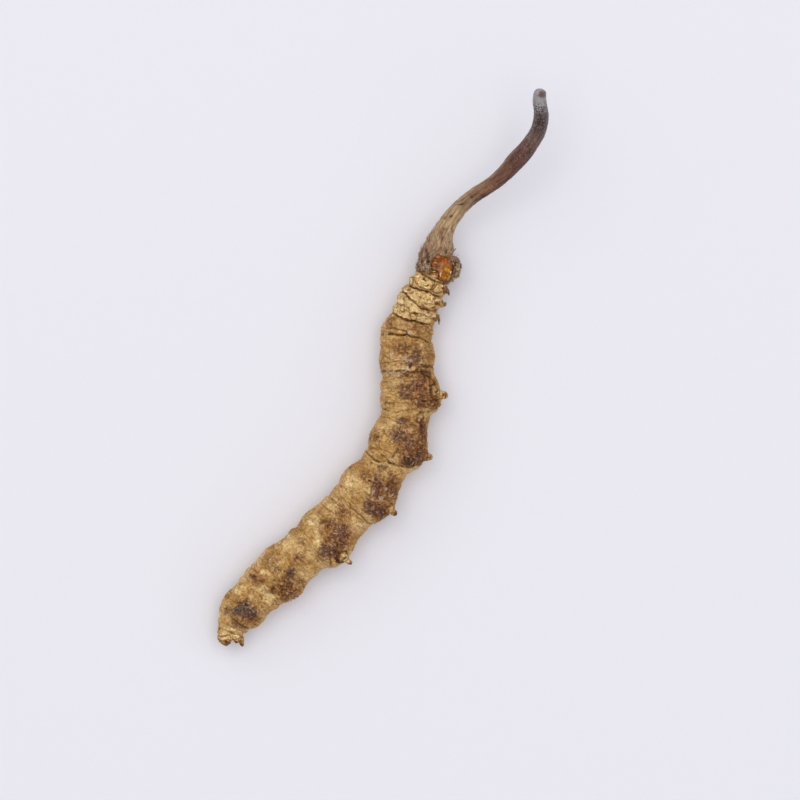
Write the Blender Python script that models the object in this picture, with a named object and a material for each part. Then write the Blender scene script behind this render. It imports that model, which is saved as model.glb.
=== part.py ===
"""A dried cordyceps fungus lying on its side: a mummified moth larva, its head capsule, and the fungus
stalk that grew out of the head.

+Z is up and +Y runs from the tail to the stalk's tip. The belly faces +X, so one flank faces up.
The origin is on the surface that it rests on, under the middle of the object's box.
Lengths below are in millimetres, and MM turns them to metres.
"""

import math

import bmesh
import bpy
import numpy as np
from mathutils import Vector, noise

MM = 0.001

# The larva, front to back. Each row starts at the crease in front of a segment:
# name, x and y of the crease's centre, height of the axis, half-width at the crease,
# half-width at the swollen middle, and how far the belly's midline is turned up, in degrees.
SEGMENTS = (
    ("thorax_1", 5.42, 9.92, 2.98, 1.86, 2.02, -18),
    ("thorax_2", 4.62, 8.25, 2.85, 1.93, 2.28, -18),
    ("thorax_3", 3.96, 7.05, 2.80, 2.15, 2.38, -18),
    ("abdomen_1", 3.12, 5.33, 2.65, 2.12, 2.82, -20),
    ("abdomen_2", 2.50, 3.20, 2.55, 2.46, 2.93, -22),
    ("abdomen_3", 2.60, -0.40, 2.60, 2.68, 3.10, -25),
    ("abdomen_4", 2.44, -5.45, 2.70, 2.48, 3.22, -20),
    ("abdomen_5", 0.28, -10.95, 2.80, 2.45, 3.34, -14),
    ("abdomen_6", -3.63, -15.80, 2.80, 2.55, 3.18, -8),
    ("abdomen_7", -8.58, -20.40, 2.62, 2.46, 3.00, 0),
    ("abdomen_8", -13.48, -24.70, 2.42, 2.36, 2.56, 10),
    ("abdomen_9", -16.34, -28.16, 2.15, 1.62, 1.56, 25),
    ("abdomen_10", -16.80, -29.30, 2.05, 1.42, 1.36, 40),
)
TAIL_END = (-16.82, -30.35, 1.95)
TAIL_HALF_WIDTH = 0.95
TAIL_PROFILE = ((0.75, 0.25), (0.35, 0.38))  # shares of the last ring, and distances behind it
CUP_PROFILE = ((0.30, -0.62), (0.62, -0.40), (0.87, 0.04))  # shares of the first ring, and distances before it
RING_SPACING = 0.50
POINTS_AROUND = 26
FLATTENED = 0.93  # height of the dried body over its width

# How a segment swells between its creases: full soon after the crease along the back,
# and further back along the belly. Smaller powers give sharper creases.
BACK_SWELL_POWER = 0.6
BELLY_SWELL_POWER = 0.7
BELLY_SWELL_DELAY = 1.35
FLANK_CREASE_POWER = 0.4
FLANK_CREASE_DEPTH = 0.16  # how much deeper a crease cuts on the flanks than along the back and belly
CROSS_FOLD_SEGMENTS = ("abdomen_2", "abdomen_3", "abdomen_4", "abdomen_5", "abdomen_6", "abdomen_7", "abdomen_8")
CROSS_FOLD_PLACES = (0.20, 0.77)  # where two cross folds part a segment's back, as shares of its length
CROSS_FOLD_WIDTH = 0.05
CROSS_FOLD_DEPTH = 0.20
FLANK_FOLD_SEGMENTS = ("abdomen_2", "abdomen_3", "abdomen_4", "abdomen_5", "abdomen_6")
FLANK_FOLD_ANGLES = (math.radians(52), math.radians(-52))  # from the belly's midline
FLANK_FOLD_WIDTH = math.radians(9)
FLANK_FOLD_DEPTH = 0.16
SKIN_LUMP_SIZE, SKIN_LUMP_HEIGHT = 1.5, 0.13

# Feet. A profile is a list of (distance out of the skin, radius).
FOOT_SIDES = 8
PROLEG_PLACE = 0.57  # share of the segment's length
PROLEGS = (  # segment, angle over level of the upper one and of the lower one in degrees, size
    ("abdomen_3", 12, -38, 1.00),
    ("abdomen_4", 16, -37, 0.85),
    ("abdomen_5", 27, -35, 1.00),
    ("abdomen_6", 21, -33, 1.20),
)
PROLEG_PROFILE = ((-0.8, 0.95), (-0.1, 0.94), (0.20, 0.72), (0.40, 0.62), (0.50, 0.47), (0.94, 0.42), (1.2, 0.2))
LEGS = (  # segment, share of its length, angle over level of the upper one and of the lower one in degrees
    ("thorax_1", 0.42, 14, -40),
    ("thorax_2", 0.36, 12, -40),
    ("thorax_3", 0.66, 10, -38),
)
LEG_PROFILE = ((-0.45, 0.34), (0.04, 0.40), (0.30, 0.33), (0.36, 0.25), (0.70, 0.20), (1.02, 0.07))
CLASPERS = (  # a point of the tail's skin, and the direction in which the clasper stands out
    ((-17.20, -29.95, 2.30), (-0.25, -0.80, 0.55)),
    ((-16.10, -30.00, 2.20), (0.35, -0.90, 0.25)),
)
CLASPER_PROFILE = ((-0.7, 0.48), (0.0, 0.50), (0.25, 0.44), (0.45, 0.46), (0.56, 0.28))

HEAD_CENTRE = (6.36, 11.00, 3.75)
HEAD_HALF_SIZE = (1.40, 1.24, 1.45)  # across, lengthways, upright
HEAD_TURN = math.radians(-17)
HEAD_SIDES, HEAD_RINGS = 16, 10

# The stalk's centreline with its radius, from the torn collar round the head to the tip, which turns up.
STALK = (
    (6.08, 10.34, 3.12, 2.22),
    (6.20, 11.00, 3.16, 2.36),
    (6.18, 11.80, 3.25, 2.09),
    (6.16, 12.60, 3.35, 1.73),
    (6.33, 13.64, 3.47, 1.43),
    (6.60, 14.60, 3.60, 1.18),
    (7.12, 15.58, 3.80, 0.99),
    (7.82, 16.70, 4.05, 0.90),
    (8.74, 17.72, 4.35, 0.82),
    (10.05, 18.86, 4.80, 0.77),
    (12.12, 20.03, 5.50, 0.79),
    (14.26, 22.26, 6.50, 1.00),
    (15.65, 23.75, 7.10, 0.94),
    (16.42, 24.80, 7.55, 0.84),
    (17.10, 26.68, 8.40, 0.79),
    (17.10, 27.80, 9.00, 0.77),
    (16.95, 28.98, 9.70, 0.74),
    (17.00, 29.80, 10.40, 0.68),
)
STALK_RING_SPACING = 0.55
STALK_POINTS_AROUND = 18
STALK_TIP_PROFILE = ((0.80, 0.24), (0.40, 0.40))  # shares of the last ring, and distances beyond it
STALK_LUMP_SIZE, STALK_LUMP_HEIGHT = 0.8, 0.05
COLLAR_LENGTH = 3.2  # over which the collar's furrows fade out
COLLAR_FURROWS = 9
COLLAR_FURROW_DEPTH = 0.14
COLLAR_TEARS = 5
COLLAR_TEAR_LENGTH, COLLAR_TEAR_DEPTH = 1.2, 0.22
WINDOW_MARGIN = (0.40, 0.40, 0.38)  # how much wider than the head its pocket in the stalk is
WINDOW_RISE = 0.50  # the pocket is open towards the flank that faces up
REST_SLAB = (60.0, 80.0, 6.0)


def spline(knots, values, at):
    """Values at places along a natural cubic spline through the knots, with one row for each place."""
    knots = np.asarray(knots, float)
    values = np.asarray(values, float).reshape(len(knots), -1)
    steps = np.diff(knots)
    slopes = np.diff(values, axis=0) / steps[:, None]
    system = np.eye(len(knots))
    target = np.zeros_like(values)
    for i in range(1, len(knots) - 1):
        system[i, i - 1 : i + 2] = steps[i - 1], 2 * (steps[i - 1] + steps[i]), steps[i]
        target[i] = 6 * (slopes[i] - slopes[i - 1])
    bend = np.linalg.solve(system, target)
    at = np.atleast_1d(at)
    i = np.clip(np.searchsorted(knots, at) - 1, 0, len(knots) - 2)
    step = steps[i][:, None]
    before = (at - knots[i])[:, None]
    after = (knots[i + 1] - at)[:, None]
    curved = (bend[i] * after**3 + bend[i + 1] * before**3) / (6 * step)
    straight = (values[i] / step - bend[i] * step / 6) * after
    straight += (values[i + 1] / step - bend[i + 1] * step / 6) * before
    return curved + straight


def chord_lengths(points):
    return np.concatenate([[0], np.cumsum(np.linalg.norm(np.diff(points, axis=0), axis=1))])


def unit(vectors):
    return vectors / np.linalg.norm(vectors, axis=-1, keepdims=True)


def frames(knots, points, at, nudge=0.01):
    """Centre, forward, sideways and upward directions at each place along the curve through the points."""
    centre = spline(knots, points, at)
    forward = unit(spline(knots, points, at + nudge) - spline(knots, points, at - nudge))
    sideways = unit(np.cross((0, 0, 1), forward))
    return centre, forward, sideways, np.cross(forward, sideways)


def add_loft(shape, rings):
    """Adds a closed body through rings of points, each ring counter-clockwise about the way they run."""
    rows = [[shape.verts.new(point) for point in ring] for ring in rings]
    for near, far in zip(rows, rows[1:]):
        for j in range(len(near)):
            k = (j + 1) % len(near)
            shape.faces.new((near[j], near[k], far[k], far[j]))
    shape.faces.new(rows[0][::-1])
    shape.faces.new(rows[-1])


def end_rings(ring, centre, outward, profile):
    """Rings like the given one for each (share of its size, distance outward)."""
    return [centre + (ring - centre) * share + outward * distance for share, distance in profile]


def lumps(points, size, height):
    """Smooth bumps and hollows, as a height at each point."""
    return np.array([noise.fractal(Vector(point) / size, 0.6, 2.0, 3) for point in points]) * height


def fold(distance, width):
    """A rounded groove's depth, from 0 to 1, at a distance from its bottom."""
    return np.exp(-((distance / width) ** 2))


def add_object(shape, name, parent, material=None):
    """The shape, drawn in millimetres, as an object in metres."""
    mesh = bpy.data.meshes.new(name)
    bmesh.ops.scale(shape, vec=(MM, MM, MM), verts=shape.verts)
    shape.to_mesh(mesh)
    shape.free()
    mesh.shade_smooth()
    if material:
        mesh.materials.append(material)
    made = bpy.data.objects.new(name, mesh)
    made.parent = parent
    bpy.context.scene.collection.objects.link(made)
    return made


def boolean(target, helper, operation):
    """Joins or cuts with a helper object that isn't part of the model itself."""
    helper.hide_render = True
    helper.display_type = "WIRE"
    modifier = target.modifiers.new(helper.name, "BOOLEAN")
    modifier.object = helper
    modifier.operation = operation
    modifier.solver = "EXACT"


def finish(name, colour, roughness):
    material = bpy.data.materials.new(name)
    material.use_nodes = True
    shader = material.node_tree.nodes["Principled BSDF"]
    shader.inputs["Base Color"].default_value = (*colour, 1)
    shader.inputs["Roughness"].default_value = roughness
    shader.inputs["Metallic"].default_value = 0
    return material


class BodyAxis:
    """The larva's curved axis, with each segment's place along it."""

    def __init__(self):
        self.names = [row[0] for row in SEGMENTS]
        self.points = np.array([row[1:4] for row in SEGMENTS] + [TAIL_END])
        self.starts = chord_lengths(self.points)
        self.creases = [row[4] for row in SEGMENTS] + [TAIL_HALF_WIDTH]
        self.middles = [row[5] for row in SEGMENTS]
        self.turns = np.radians([row[6] for row in SEGMENTS] + [SEGMENTS[-1][6]])

    def place(self, name, share):
        i = self.names.index(name)
        return self.starts[i] + share * (self.starts[i + 1] - self.starts[i])

    def ring_places(self):
        """Places along the axis, with one on every crease."""
        places = []
        for start, end in zip(self.starts, self.starts[1:]):
            count = max(3, round((end - start) / RING_SPACING))
            places += list(np.linspace(start, end, count, endpoint=False))
        return np.array(places + [self.starts[-1]])

    def half_width(self, at, level):
        """The skin's distance from the axis, at angles over level."""
        around = level - spline(self.starts, self.turns, at)[0, 0]
        i = int(np.clip(np.searchsorted(self.starts, at, "right") - 1, 0, len(self.names) - 1))
        share = (at - self.starts[i]) / (self.starts[i + 1] - self.starts[i])
        crease = self.creases[i] + (self.creases[i + 1] - self.creases[i]) * share
        rise = math.sin(math.pi * share)
        belly = 0.5 + 0.5 * np.cos(around)
        back_swell = rise**BACK_SWELL_POWER
        belly_swell = math.sin(math.pi * share**BELLY_SWELL_DELAY) ** BELLY_SWELL_POWER
        swell = back_swell + (belly_swell - back_swell) * belly
        width = crease + (self.middles[i] - crease) * swell
        width -= FLANK_CREASE_DEPTH * np.sin(around) ** 2 * (1 - rise**FLANK_CREASE_POWER)
        if self.names[i] in CROSS_FOLD_SEGMENTS:
            for place in CROSS_FOLD_PLACES:
                width -= CROSS_FOLD_DEPTH * (1 - belly) * fold(share - place, CROSS_FOLD_WIDTH)
        if self.names[i] in FLANK_FOLD_SEGMENTS:
            for angle in FLANK_FOLD_ANGLES:
                off = np.angle(np.exp(1j * (around - angle)))
                width -= FLANK_FOLD_DEPTH * rise * fold(off, FLANK_FOLD_WIDTH)
        return width

    def skin_point(self, at, level):
        """A point of the skin and the direction straight out of it, at an angle over level."""
        centre, _, sideways, up = (row[0] for row in frames(self.starts, self.points, np.array([at])))
        across = math.cos(level) * sideways
        upward = math.sin(level) * up
        reach = float(self.half_width(at, np.array([level]))[0])
        return centre + reach * (across + FLATTENED * upward), across + upward


def body_shape(axis):
    places = axis.ring_places()
    centre, forward, sideways, up = frames(axis.starts, axis.points, places)
    level = np.arange(POINTS_AROUND) * math.tau / POINTS_AROUND
    rings = []
    for k, at in enumerate(places):
        direction = np.cos(level)[:, None] * sideways[k] + FLATTENED * np.sin(level)[:, None] * up[k]
        ring = centre[k] + axis.half_width(at, level)[:, None] * direction
        rings.append(ring + unit(direction) * lumps(ring, SKIN_LUMP_SIZE, SKIN_LUMP_HEIGHT)[:, None])
    cup = end_rings(rings[0], centre[0], -forward[0], CUP_PROFILE)
    tail = end_rings(rings[-1], centre[-1], forward[-1], TAIL_PROFILE)
    shape = bmesh.new()
    add_loft(shape, cup + rings + tail)
    return shape


def add_foot(shape, point, out, profile, size=1.0):
    """Adds a turned stub, with one ring for each row of its profile."""
    out = unit(np.array(out, float))
    across = unit(np.cross(out, (0, 0, 1)))
    along = np.cross(out, across)
    turn = np.arange(FOOT_SIDES) * math.tau / FOOT_SIDES
    circle = np.cos(turn)[:, None] * across + np.sin(turn)[:, None] * along
    add_loft(shape, [np.array(point) + size * (out * distance + circle * radius) for distance, radius in profile])


def feet_shape(axis):
    """Clawed legs under the thorax, stubby prolegs under the abdomen, and the tail's claspers."""
    shape = bmesh.new()
    for name, place, *levels in LEGS:
        for level in np.radians(levels):
            add_foot(shape, *axis.skin_point(axis.place(name, place), level), LEG_PROFILE)
    for name, upper, lower, size in PROLEGS:
        for level in np.radians((upper, lower)):
            add_foot(shape, *axis.skin_point(axis.place(name, PROLEG_PLACE), level), PROLEG_PROFILE, size)
    for point, out in CLASPERS:
        add_foot(shape, point, out, CLASPER_PROFILE)
    return shape


def add_larva_body(parent):
    axis = BodyAxis()
    skin = finish("dried_skin", colour=(0.43, 0.26, 0.09), roughness=0.85)
    body = add_object(body_shape(axis), "larva_body", parent, skin)
    boolean(body, add_object(feet_shape(axis), "feet", parent), "UNION")
    slab = bmesh.new()
    bmesh.ops.create_cube(slab, size=1)
    bmesh.ops.scale(slab, vec=REST_SLAB, verts=slab.verts)
    bmesh.ops.translate(slab, vec=(0, 0, -REST_SLAB[2] / 2), verts=slab.verts)
    boolean(body, add_object(slab, "rest_surface", parent), "DIFFERENCE")


def add_ellipsoid(name, half_size, centre, parent, material=None):
    shape = bmesh.new()
    bmesh.ops.create_uvsphere(shape, u_segments=HEAD_SIDES, v_segments=HEAD_RINGS, radius=1)
    bmesh.ops.scale(shape, vec=half_size, verts=shape.verts)
    made = add_object(shape, name, parent, material)
    made.location = Vector(centre) * MM
    made.rotation_euler.z = HEAD_TURN
    return made


def add_head_capsule(parent):
    shell = finish("amber_shell", colour=(0.45, 0.14, 0.01), roughness=0.25)
    add_ellipsoid("head_capsule", HEAD_HALF_SIZE, HEAD_CENTRE, parent, shell)


def stalk_shape():
    rows = np.array(STALK)
    knots = chord_lengths(rows[:, :3])
    places = np.linspace(0, knots[-1], round(knots[-1] / STALK_RING_SPACING) + 1)
    centre, forward, sideways, up = frames(knots, rows[:, :3], places)
    radius = spline(knots, rows[:, 3], places)[:, 0]
    turn = np.arange(STALK_POINTS_AROUND) * math.tau / STALK_POINTS_AROUND
    furrow = COLLAR_FURROW_DEPTH * np.cos(COLLAR_FURROWS * turn)
    tear = COLLAR_TEAR_DEPTH * (0.5 + 0.5 * np.cos(COLLAR_TEARS * turn + 1))
    rings = []
    for k, at in enumerate(places):
        out = np.cos(turn)[:, None] * sideways[k] + np.sin(turn)[:, None] * up[k]
        reach = radius[k] - furrow * max(0, 1 - at / COLLAR_LENGTH)
        ahead = tear * max(0, 1 - at / COLLAR_TEAR_LENGTH)
        ring = centre[k] + reach[:, None] * out + ahead[:, None] * forward[k]
        rings.append(ring + out * lumps(ring, STALK_LUMP_SIZE, STALK_LUMP_HEIGHT)[:, None])
    shape = bmesh.new()
    add_loft(shape, rings + end_rings(rings[-1], centre[-1], forward[-1], STALK_TIP_PROFILE))
    return shape


def add_fungus_stalk(parent):
    flesh = finish("stalk_flesh", colour=(0.15, 0.08, 0.06), roughness=0.80)
    stalk = add_object(stalk_shape(), "fungus_stalk", parent, flesh)
    rise = Vector((0, 0, WINDOW_RISE))
    half_size = Vector(HEAD_HALF_SIZE) + Vector(WINDOW_MARGIN) + rise
    boolean(stalk, add_ellipsoid("head_window", half_size, Vector(HEAD_CENTRE) + rise, parent), "DIFFERENCE")


def build():
    for old in list(bpy.data.objects):
        bpy.data.objects.remove(old)
    whole = bpy.data.objects.new("cordyceps_fungus", None)
    bpy.context.scene.collection.objects.link(whole)
    add_larva_body(whole)
    add_head_capsule(whole)
    add_fungus_stalk(whole)


build()
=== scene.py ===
"""Looks for a dried cordyceps fungus: a mummified moth larva with the fungus's stalk growing out of its head.

Everything is drafted in millimetres and turned to metres when a piece is finished. Places marked px are
pixels of the photograph, which looks straight down on the object, with 0.11 mm of it to a pixel.
"""
import math

import bpy
import numpy as np
from mathutils import Matrix, Vector, kdtree, noise


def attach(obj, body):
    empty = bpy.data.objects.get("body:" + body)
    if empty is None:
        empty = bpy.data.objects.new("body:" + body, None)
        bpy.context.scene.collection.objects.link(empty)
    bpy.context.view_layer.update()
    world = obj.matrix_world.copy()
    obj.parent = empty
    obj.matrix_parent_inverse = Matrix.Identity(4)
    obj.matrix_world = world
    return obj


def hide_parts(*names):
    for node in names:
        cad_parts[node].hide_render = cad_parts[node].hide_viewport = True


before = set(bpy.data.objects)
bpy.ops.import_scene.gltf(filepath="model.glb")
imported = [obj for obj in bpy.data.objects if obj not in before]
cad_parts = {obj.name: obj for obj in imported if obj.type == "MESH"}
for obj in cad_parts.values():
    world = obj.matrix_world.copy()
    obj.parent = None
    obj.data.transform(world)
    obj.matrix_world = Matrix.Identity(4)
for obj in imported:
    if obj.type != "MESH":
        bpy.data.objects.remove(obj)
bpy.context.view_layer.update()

MM = 0.001
PER_MM = 1000  # pattern scales, which Object coordinates count by the metre
PIXEL = 0.11
PHOTO_PX = 800  # the photograph is as wide as it is high
ORIGIN_PX = (383.5, 367.0)  # the pixel over the part's origin

# The larva's axis, front to back: x and y of each crease's centre, height, half-width at the crease and
# at the swollen middle behind it. The last row ends the tail.
AXIS = (
    (5.42, 9.92, 2.98, 1.86, 2.02),
    (4.62, 8.25, 2.85, 1.93, 2.28),
    (3.96, 7.05, 2.80, 2.15, 2.38),
    (3.12, 5.33, 2.65, 2.12, 2.82),
    (2.50, 3.20, 2.55, 2.46, 2.93),
    (2.60, -0.40, 2.60, 2.68, 3.10),
    (2.44, -5.45, 2.70, 2.48, 3.22),
    (0.28, -10.95, 2.80, 2.45, 3.34),
    (-3.63, -15.80, 2.80, 2.55, 3.18),
    (-8.58, -20.40, 2.62, 2.46, 3.00),
    (-13.48, -24.70, 2.42, 2.36, 2.56),
    (-16.34, -28.16, 2.15, 1.62, 1.56),
    (-16.80, -29.10, 2.05, 1.40, 1.20),
    (-16.80, -29.75, 1.95, 0.70, 0.70),
)
FLATTENED = 0.93  # height of the dried body over its width
SWELL_POWER = 0.55  # the smaller it is, the sooner a segment is full behind its crease
# The body's outline seen from above, in px from the first segment to the tail, without its feet. A script
# measured both lists on a mask of the photograph. They were thinned and rounded, and some points near the
# ends were changed.
BACK_LINE = (
    (417, 270), (416.5, 274.5), (411, 276.5), (408.7, 279.5), (409, 284.5), (404.5, 286.5), (402, 289),
    (401.5, 291.5), (398, 293.5), (397, 297), (397.2, 303), (393.2, 306), (392.7, 309), (393, 312.5),
    (390.5, 314.5), (387, 318.5), (385, 322.5), (381.5, 327.5), (381, 331), (382, 334), (380.5, 338),
    (380.3, 343), (381.5, 348), (379.5, 359), (380.5, 367), (383.5, 377), (380.5, 385.5), (381.5, 391),
    (380.5, 399), (381, 408), (381.5, 415.5), (376.5, 422), (372.5, 428.5), (369.5, 435.5), (368.5, 443),
    (368.5, 447), (365, 451.5), (362.5, 457.5), (360, 460.5), (352, 464.5), (346.5, 470), (341.5, 477),
    (339.5, 480.5), (338.5, 485), (335, 487.5), (332, 490.5), (330.5, 495.5), (326, 497), (320.5, 503.5),
    (313, 508.5), (306, 514), (300.5, 520.5), (299, 525.5), (295.5, 528.5), (291.5, 530), (285.5, 537),
    (278.5, 543), (274, 544.5), (266, 549.5), (259.5, 556.5), (253.5, 564), (250.5, 567.5), (246.5, 570),
    (244.5, 575), (240.5, 578), (238.5, 583), (234.5, 586.5), (227, 593.5), (221.5, 603), (219.5, 609),
    (220.5, 615.5), (218.5, 621.5), (218.8, 628), (217.8, 631), (218, 635), (221.5, 638.5),
)
BELLY_LINE = (
    (447.5, 283.5), (446.5, 288), (445.5, 293), (443, 297.5), (441.5, 302), (439.5, 306.5), (436.5, 310),
    (436.5, 314.5), (435, 319), (432.5, 326), (433, 334), (431, 339.5), (430.5, 342), (432.5, 345),
    (434.5, 351.5), (434.5, 358), (432.5, 368.5), (434, 374), (438, 384), (440.5, 394.5), (440.5, 400),
    (439.5, 405.5), (436, 410.5), (430, 415.5), (427.5, 425.5), (426.5, 431), (427, 442.5), (427, 454),
    (424.5, 459.5), (421.5, 464), (418.5, 468), (411.5, 471), (406.5, 474), (404.5, 478.5), (401.5, 483),
    (398, 492.5), (397, 498.5), (393, 508.5), (390, 512.5), (386.5, 516), (378, 521.5), (368.5, 526),
    (366, 530.5), (359.5, 537), (354.5, 545.5), (349.5, 554.5), (347, 558.5), (343.5, 562), (335.5, 567),
    (330, 567.5), (324.5, 568.5), (320, 570.5), (317.5, 574.5), (310, 579.5), (304.5, 587), (302.5, 592),
    (299.5, 595), (292, 600), (287.5, 601.5), (279, 604.5), (276.5, 608), (269, 612.5), (266.5, 616),
    (262, 622.5), (259.5, 625), (256, 627), (251.5, 628.5), (247.5, 630.5), (245, 633), (241, 635.5),
    (237, 638),
)

# Creases between the segments: strength, then px down the flank that faces up, from the back to the belly.
CREASES = (
    (1.0, (408, 284.5), (413, 287.5), (418, 289), (424, 290.5), (430, 291.5), (434, 294), (440, 297.5)),
    (1.0, (402, 290.5), (407, 295), (411, 299.5), (416, 302.5), (419, 305.5), (422, 307.5),
     (428, 309), (436, 310)),
    (0.9, (393.5, 313), (398, 315.5), (403, 317.5), (409, 319), (415, 319.5), (419, 321.5),
     (423, 323), (429, 323.5)),
    (0.8, (388, 333.5), (396, 334.5), (403, 335), (407, 333.5), (411, 337), (418, 337.5),
     (424, 340), (428, 343.5)),
    (0.65, (382, 370.5), (390, 372), (398, 372), (406, 371.5), (412, 373), (418, 371),
     (422, 373), (427, 378), (431, 380)),
    (0.4, (382, 409.5), (388, 411), (391, 413.5), (398, 414), (404, 413), (410, 411.5),
     (421, 412.5), (431, 413.5)),
    (0.45, (368, 453.5), (372, 457.5), (377, 461), (384, 463.5), (391, 463.5), (397, 465.5),
     (404, 466.5), (409, 466)),
    (0.4, (333, 497), (338, 500.5), (341, 502.5), (345, 506), (351, 508.5), (355, 511),
     (360, 516), (365, 521), (370, 524)),
    (0.35, (288, 536), (296, 541), (305, 546.5), (312, 554), (318, 560), (322, 564.5), (326, 568)),
    (0.45, (244, 577), (252, 583), (262, 588), (268, 592.5), (273, 598), (277, 603.5)),
    (0.45, (222, 613), (231, 615.5), (236, 620), (241, 624), (246, 627), (250, 630)),
    (0.6, (219, 629), (225, 629), (231, 631), (236, 633), (241, 635), (243, 637)),
)
CREASE_DEPTH, CREASE_WIDTH = 0.34, 0.085
SOFT_CREASE = 0.5  # creases weaker than this are stretched to wide valleys of clean skin
SOFT_DEPTH, SOFT_WIDTH = 0.40, 0.26
SOFT_SHADE = 0.12  # how dark such a valley gets
CLEAN_REACH = 1.7  # how far the clean skin goes, in widths of the valley
EDGE_STRETCH = 1.04  # what comes this close to the outline runs on to it, and so notches it
# Smaller folds: a share of a crease's depth, then px.
FOLDS = (
    (0.9, (417, 270), (424, 274), (430, 278), (436, 281), (441, 282)),
    (0.8, (436, 280), (434, 284), (431, 289)),
    (0.5, (415, 279), (417, 283), (421, 287)),
    (0.7, (397, 303), (402, 304.5), (408, 306), (411, 309)),
    (0.6, (422, 303), (424, 306), (429, 307.5), (434, 307)),
    (0.6, (418, 312), (424, 313), (430, 316)),
    (0.5, (418, 313), (417, 318), (419, 321)),
    (0.7, (387, 327.5), (394, 328), (401, 329), (408, 330.5)),
    (0.5, (383, 363.5), (390, 363), (396, 362), (401, 361.5)),
    (0.3, (384, 339), (395, 340.5), (405, 341)),
    (0.7, (420, 365), (425, 366.5), (432, 367)),
    (0.7, (386, 403.5), (390, 403.5), (394, 403)),
    (0.3, (393, 403), (399, 403), (408, 404.5), (413, 406)),
    (0.4, (402, 376), (408, 375), (415, 373)),
    (1.3, (427, 376), (429, 382), (429.5, 388), (430, 395), (431, 401), (432, 406)),
    (0.6, (431, 399), (434, 400.5), (437, 401)),
    (0.6, (414, 374), (420, 377), (426, 379)),
    (0.8, (413, 391), (417, 395), (421, 396), (425, 399)),
    (0.5, (415, 399), (415.5, 404), (417, 408)),
    (0.4, (369, 449.5), (378, 449), (386, 451), (393, 454), (397, 452)),
    (0.4, (383, 417), (390, 418.5), (397, 417)),
    (1.3, (423, 414), (421.5, 420), (419.5, 426), (418, 434), (418, 443), (415, 450)),
    (0.95, (367, 452.5), (371, 457), (376, 460.5), (380, 462.5)),
    (0.7, (382, 455), (386, 458), (389, 463), (397, 465.5), (404, 466.5)),
    (0.8, (398, 449), (395, 453), (392, 458)),
    (0.4, (231, 616.5), (234, 618.5), (237, 621)),
    (1.2, (238, 621.5), (241, 624), (246, 627), (250, 630)),
    (0.6, (381, 408.5), (385, 409.5), (389, 411)),
    (0.5, (331, 497.5), (335, 501), (340, 503), (343, 506)),
    (0.35, (285, 553), (287, 558), (286, 564), (281, 571), (276, 577)),
    (0.6, (424, 440), (425, 444), (425, 449)),
    (0.6, (401, 431), (400.5, 439), (402, 447)),
    (0.4, (400, 410.5), (412, 411), (424, 412.5)),
    (0.3, (387, 412), (392, 414.5), (399, 415.5)),
    (0.7, (350, 503), (351, 507.5), (356, 511), (361, 515.5), (365, 520), (370, 524)),
    (0.3, (262, 590), (268, 594), (273, 600)),
    (0.5, (413, 415), (414, 420), (418, 424)),
    (0.9, (400, 473), (394, 476), (390, 481), (388.5, 487), (388, 492), (386, 498)),
    (0.7, (374, 482), (372, 489), (371, 496)),
    (0.7, (375, 505), (375, 513), (376, 521)),
    (0.3, (341, 486), (347, 491), (352, 496), (356, 501)),
    (0.5, (351, 501), (355, 504), (358, 508)),
    (0.5, (354, 512), (359, 517), (364, 522)),
    (0.3, (324, 505), (330, 509), (338, 516), (344, 523)),
    (0.6, (330, 548), (330, 556), (330, 564)),
    (0.9, (336, 560), (336, 552), (338, 547), (342, 544), (346, 543)),
    (0.3, (349, 545), (352, 538), (356, 533)),
    (0.3, (302, 528), (308, 535), (315, 545), (322, 556)),
    (0.4, (294, 563), (288, 568), (284, 576), (279, 580)),
    (0.3, (250, 569), (258, 573), (266, 582), (272, 590)),
    (0.2, (240, 584), (250, 588), (258, 594), (266, 600)),
    (0.4, (222, 621), (229, 624.5), (236, 627)),
    (0.5, (340, 485.5), (344, 487), (348, 490)),
    (0.5, (331, 498.5), (335, 501), (340, 505)),
    (0.5, (324, 506), (328, 508.5), (331, 511)),
    (0.4, (259, 557), (262, 560), (264, 563)),
    (0.5, (251, 568), (255, 570), (258, 573)),
    (0.4, (300, 521), (304, 524), (307, 528)),
    (0.5, (365, 452), (362, 458), (360, 461)),
)
FOLD_DEPTH, FOLD_WIDTH = 0.24, 0.08
LIP_RISE, LIP_PLACE, LIP_WIDTH = 0.3, 2.4, 1.2  # the lip beside a fold, in shares of its depth and width
FULL_SHADE_DEPTH = 0.26  # from this depth on a fold is as dark as folds get
# Ring folds round a foot or a pore: px of the centre, radius and height of the mound in millimetres.
MOUNDS = (
    (435, 392, 0.70, 0.20),
    (434, 405, 0.45, 0.15),
    (424, 456.5, 0.48, 0.16),
    (388, 508.5, 0.50, 0.30),
    (434, 384.5, 0.36, 0.14),
    (438, 400, 0.32, 0.14),
    (431.5, 408.5, 0.36, 0.16),
    (423, 377, 0.34, 0.12),
    (419.5, 418, 0.46, 0.16),
    (393, 508, 0.36, 0.18),
    (424.5, 450, 0.36, 0.14),
    (342, 556, 0.62, 0.34),
    (414, 315.5, 0.36, 0.10),
    (411.5, 281, 0.45, 0.12),
    (404, 308, 0.30, 0.06),
)
TOP_PLACE, TOP_SPREAD = 0.55, 0.12  # where a mound is highest, in shares of its radius
RING_PLACE, RING_SPREAD, RING_CUT = 1.15, 0.02, 0.9  # the furrow round it, cut by a share of its height
# Hard plates on the first segment: height over the skin, then px of their corners.
PLATES = (
    (0.16, (418, 271), (424, 274), (435, 280.5), (430.5, 288.5), (425, 287.5), (420.5, 286), (416, 280)),
    (0.12, (438, 281.5), (442.5, 283.5), (442, 290), (437, 292), (432.5, 289.5)),
)

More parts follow.
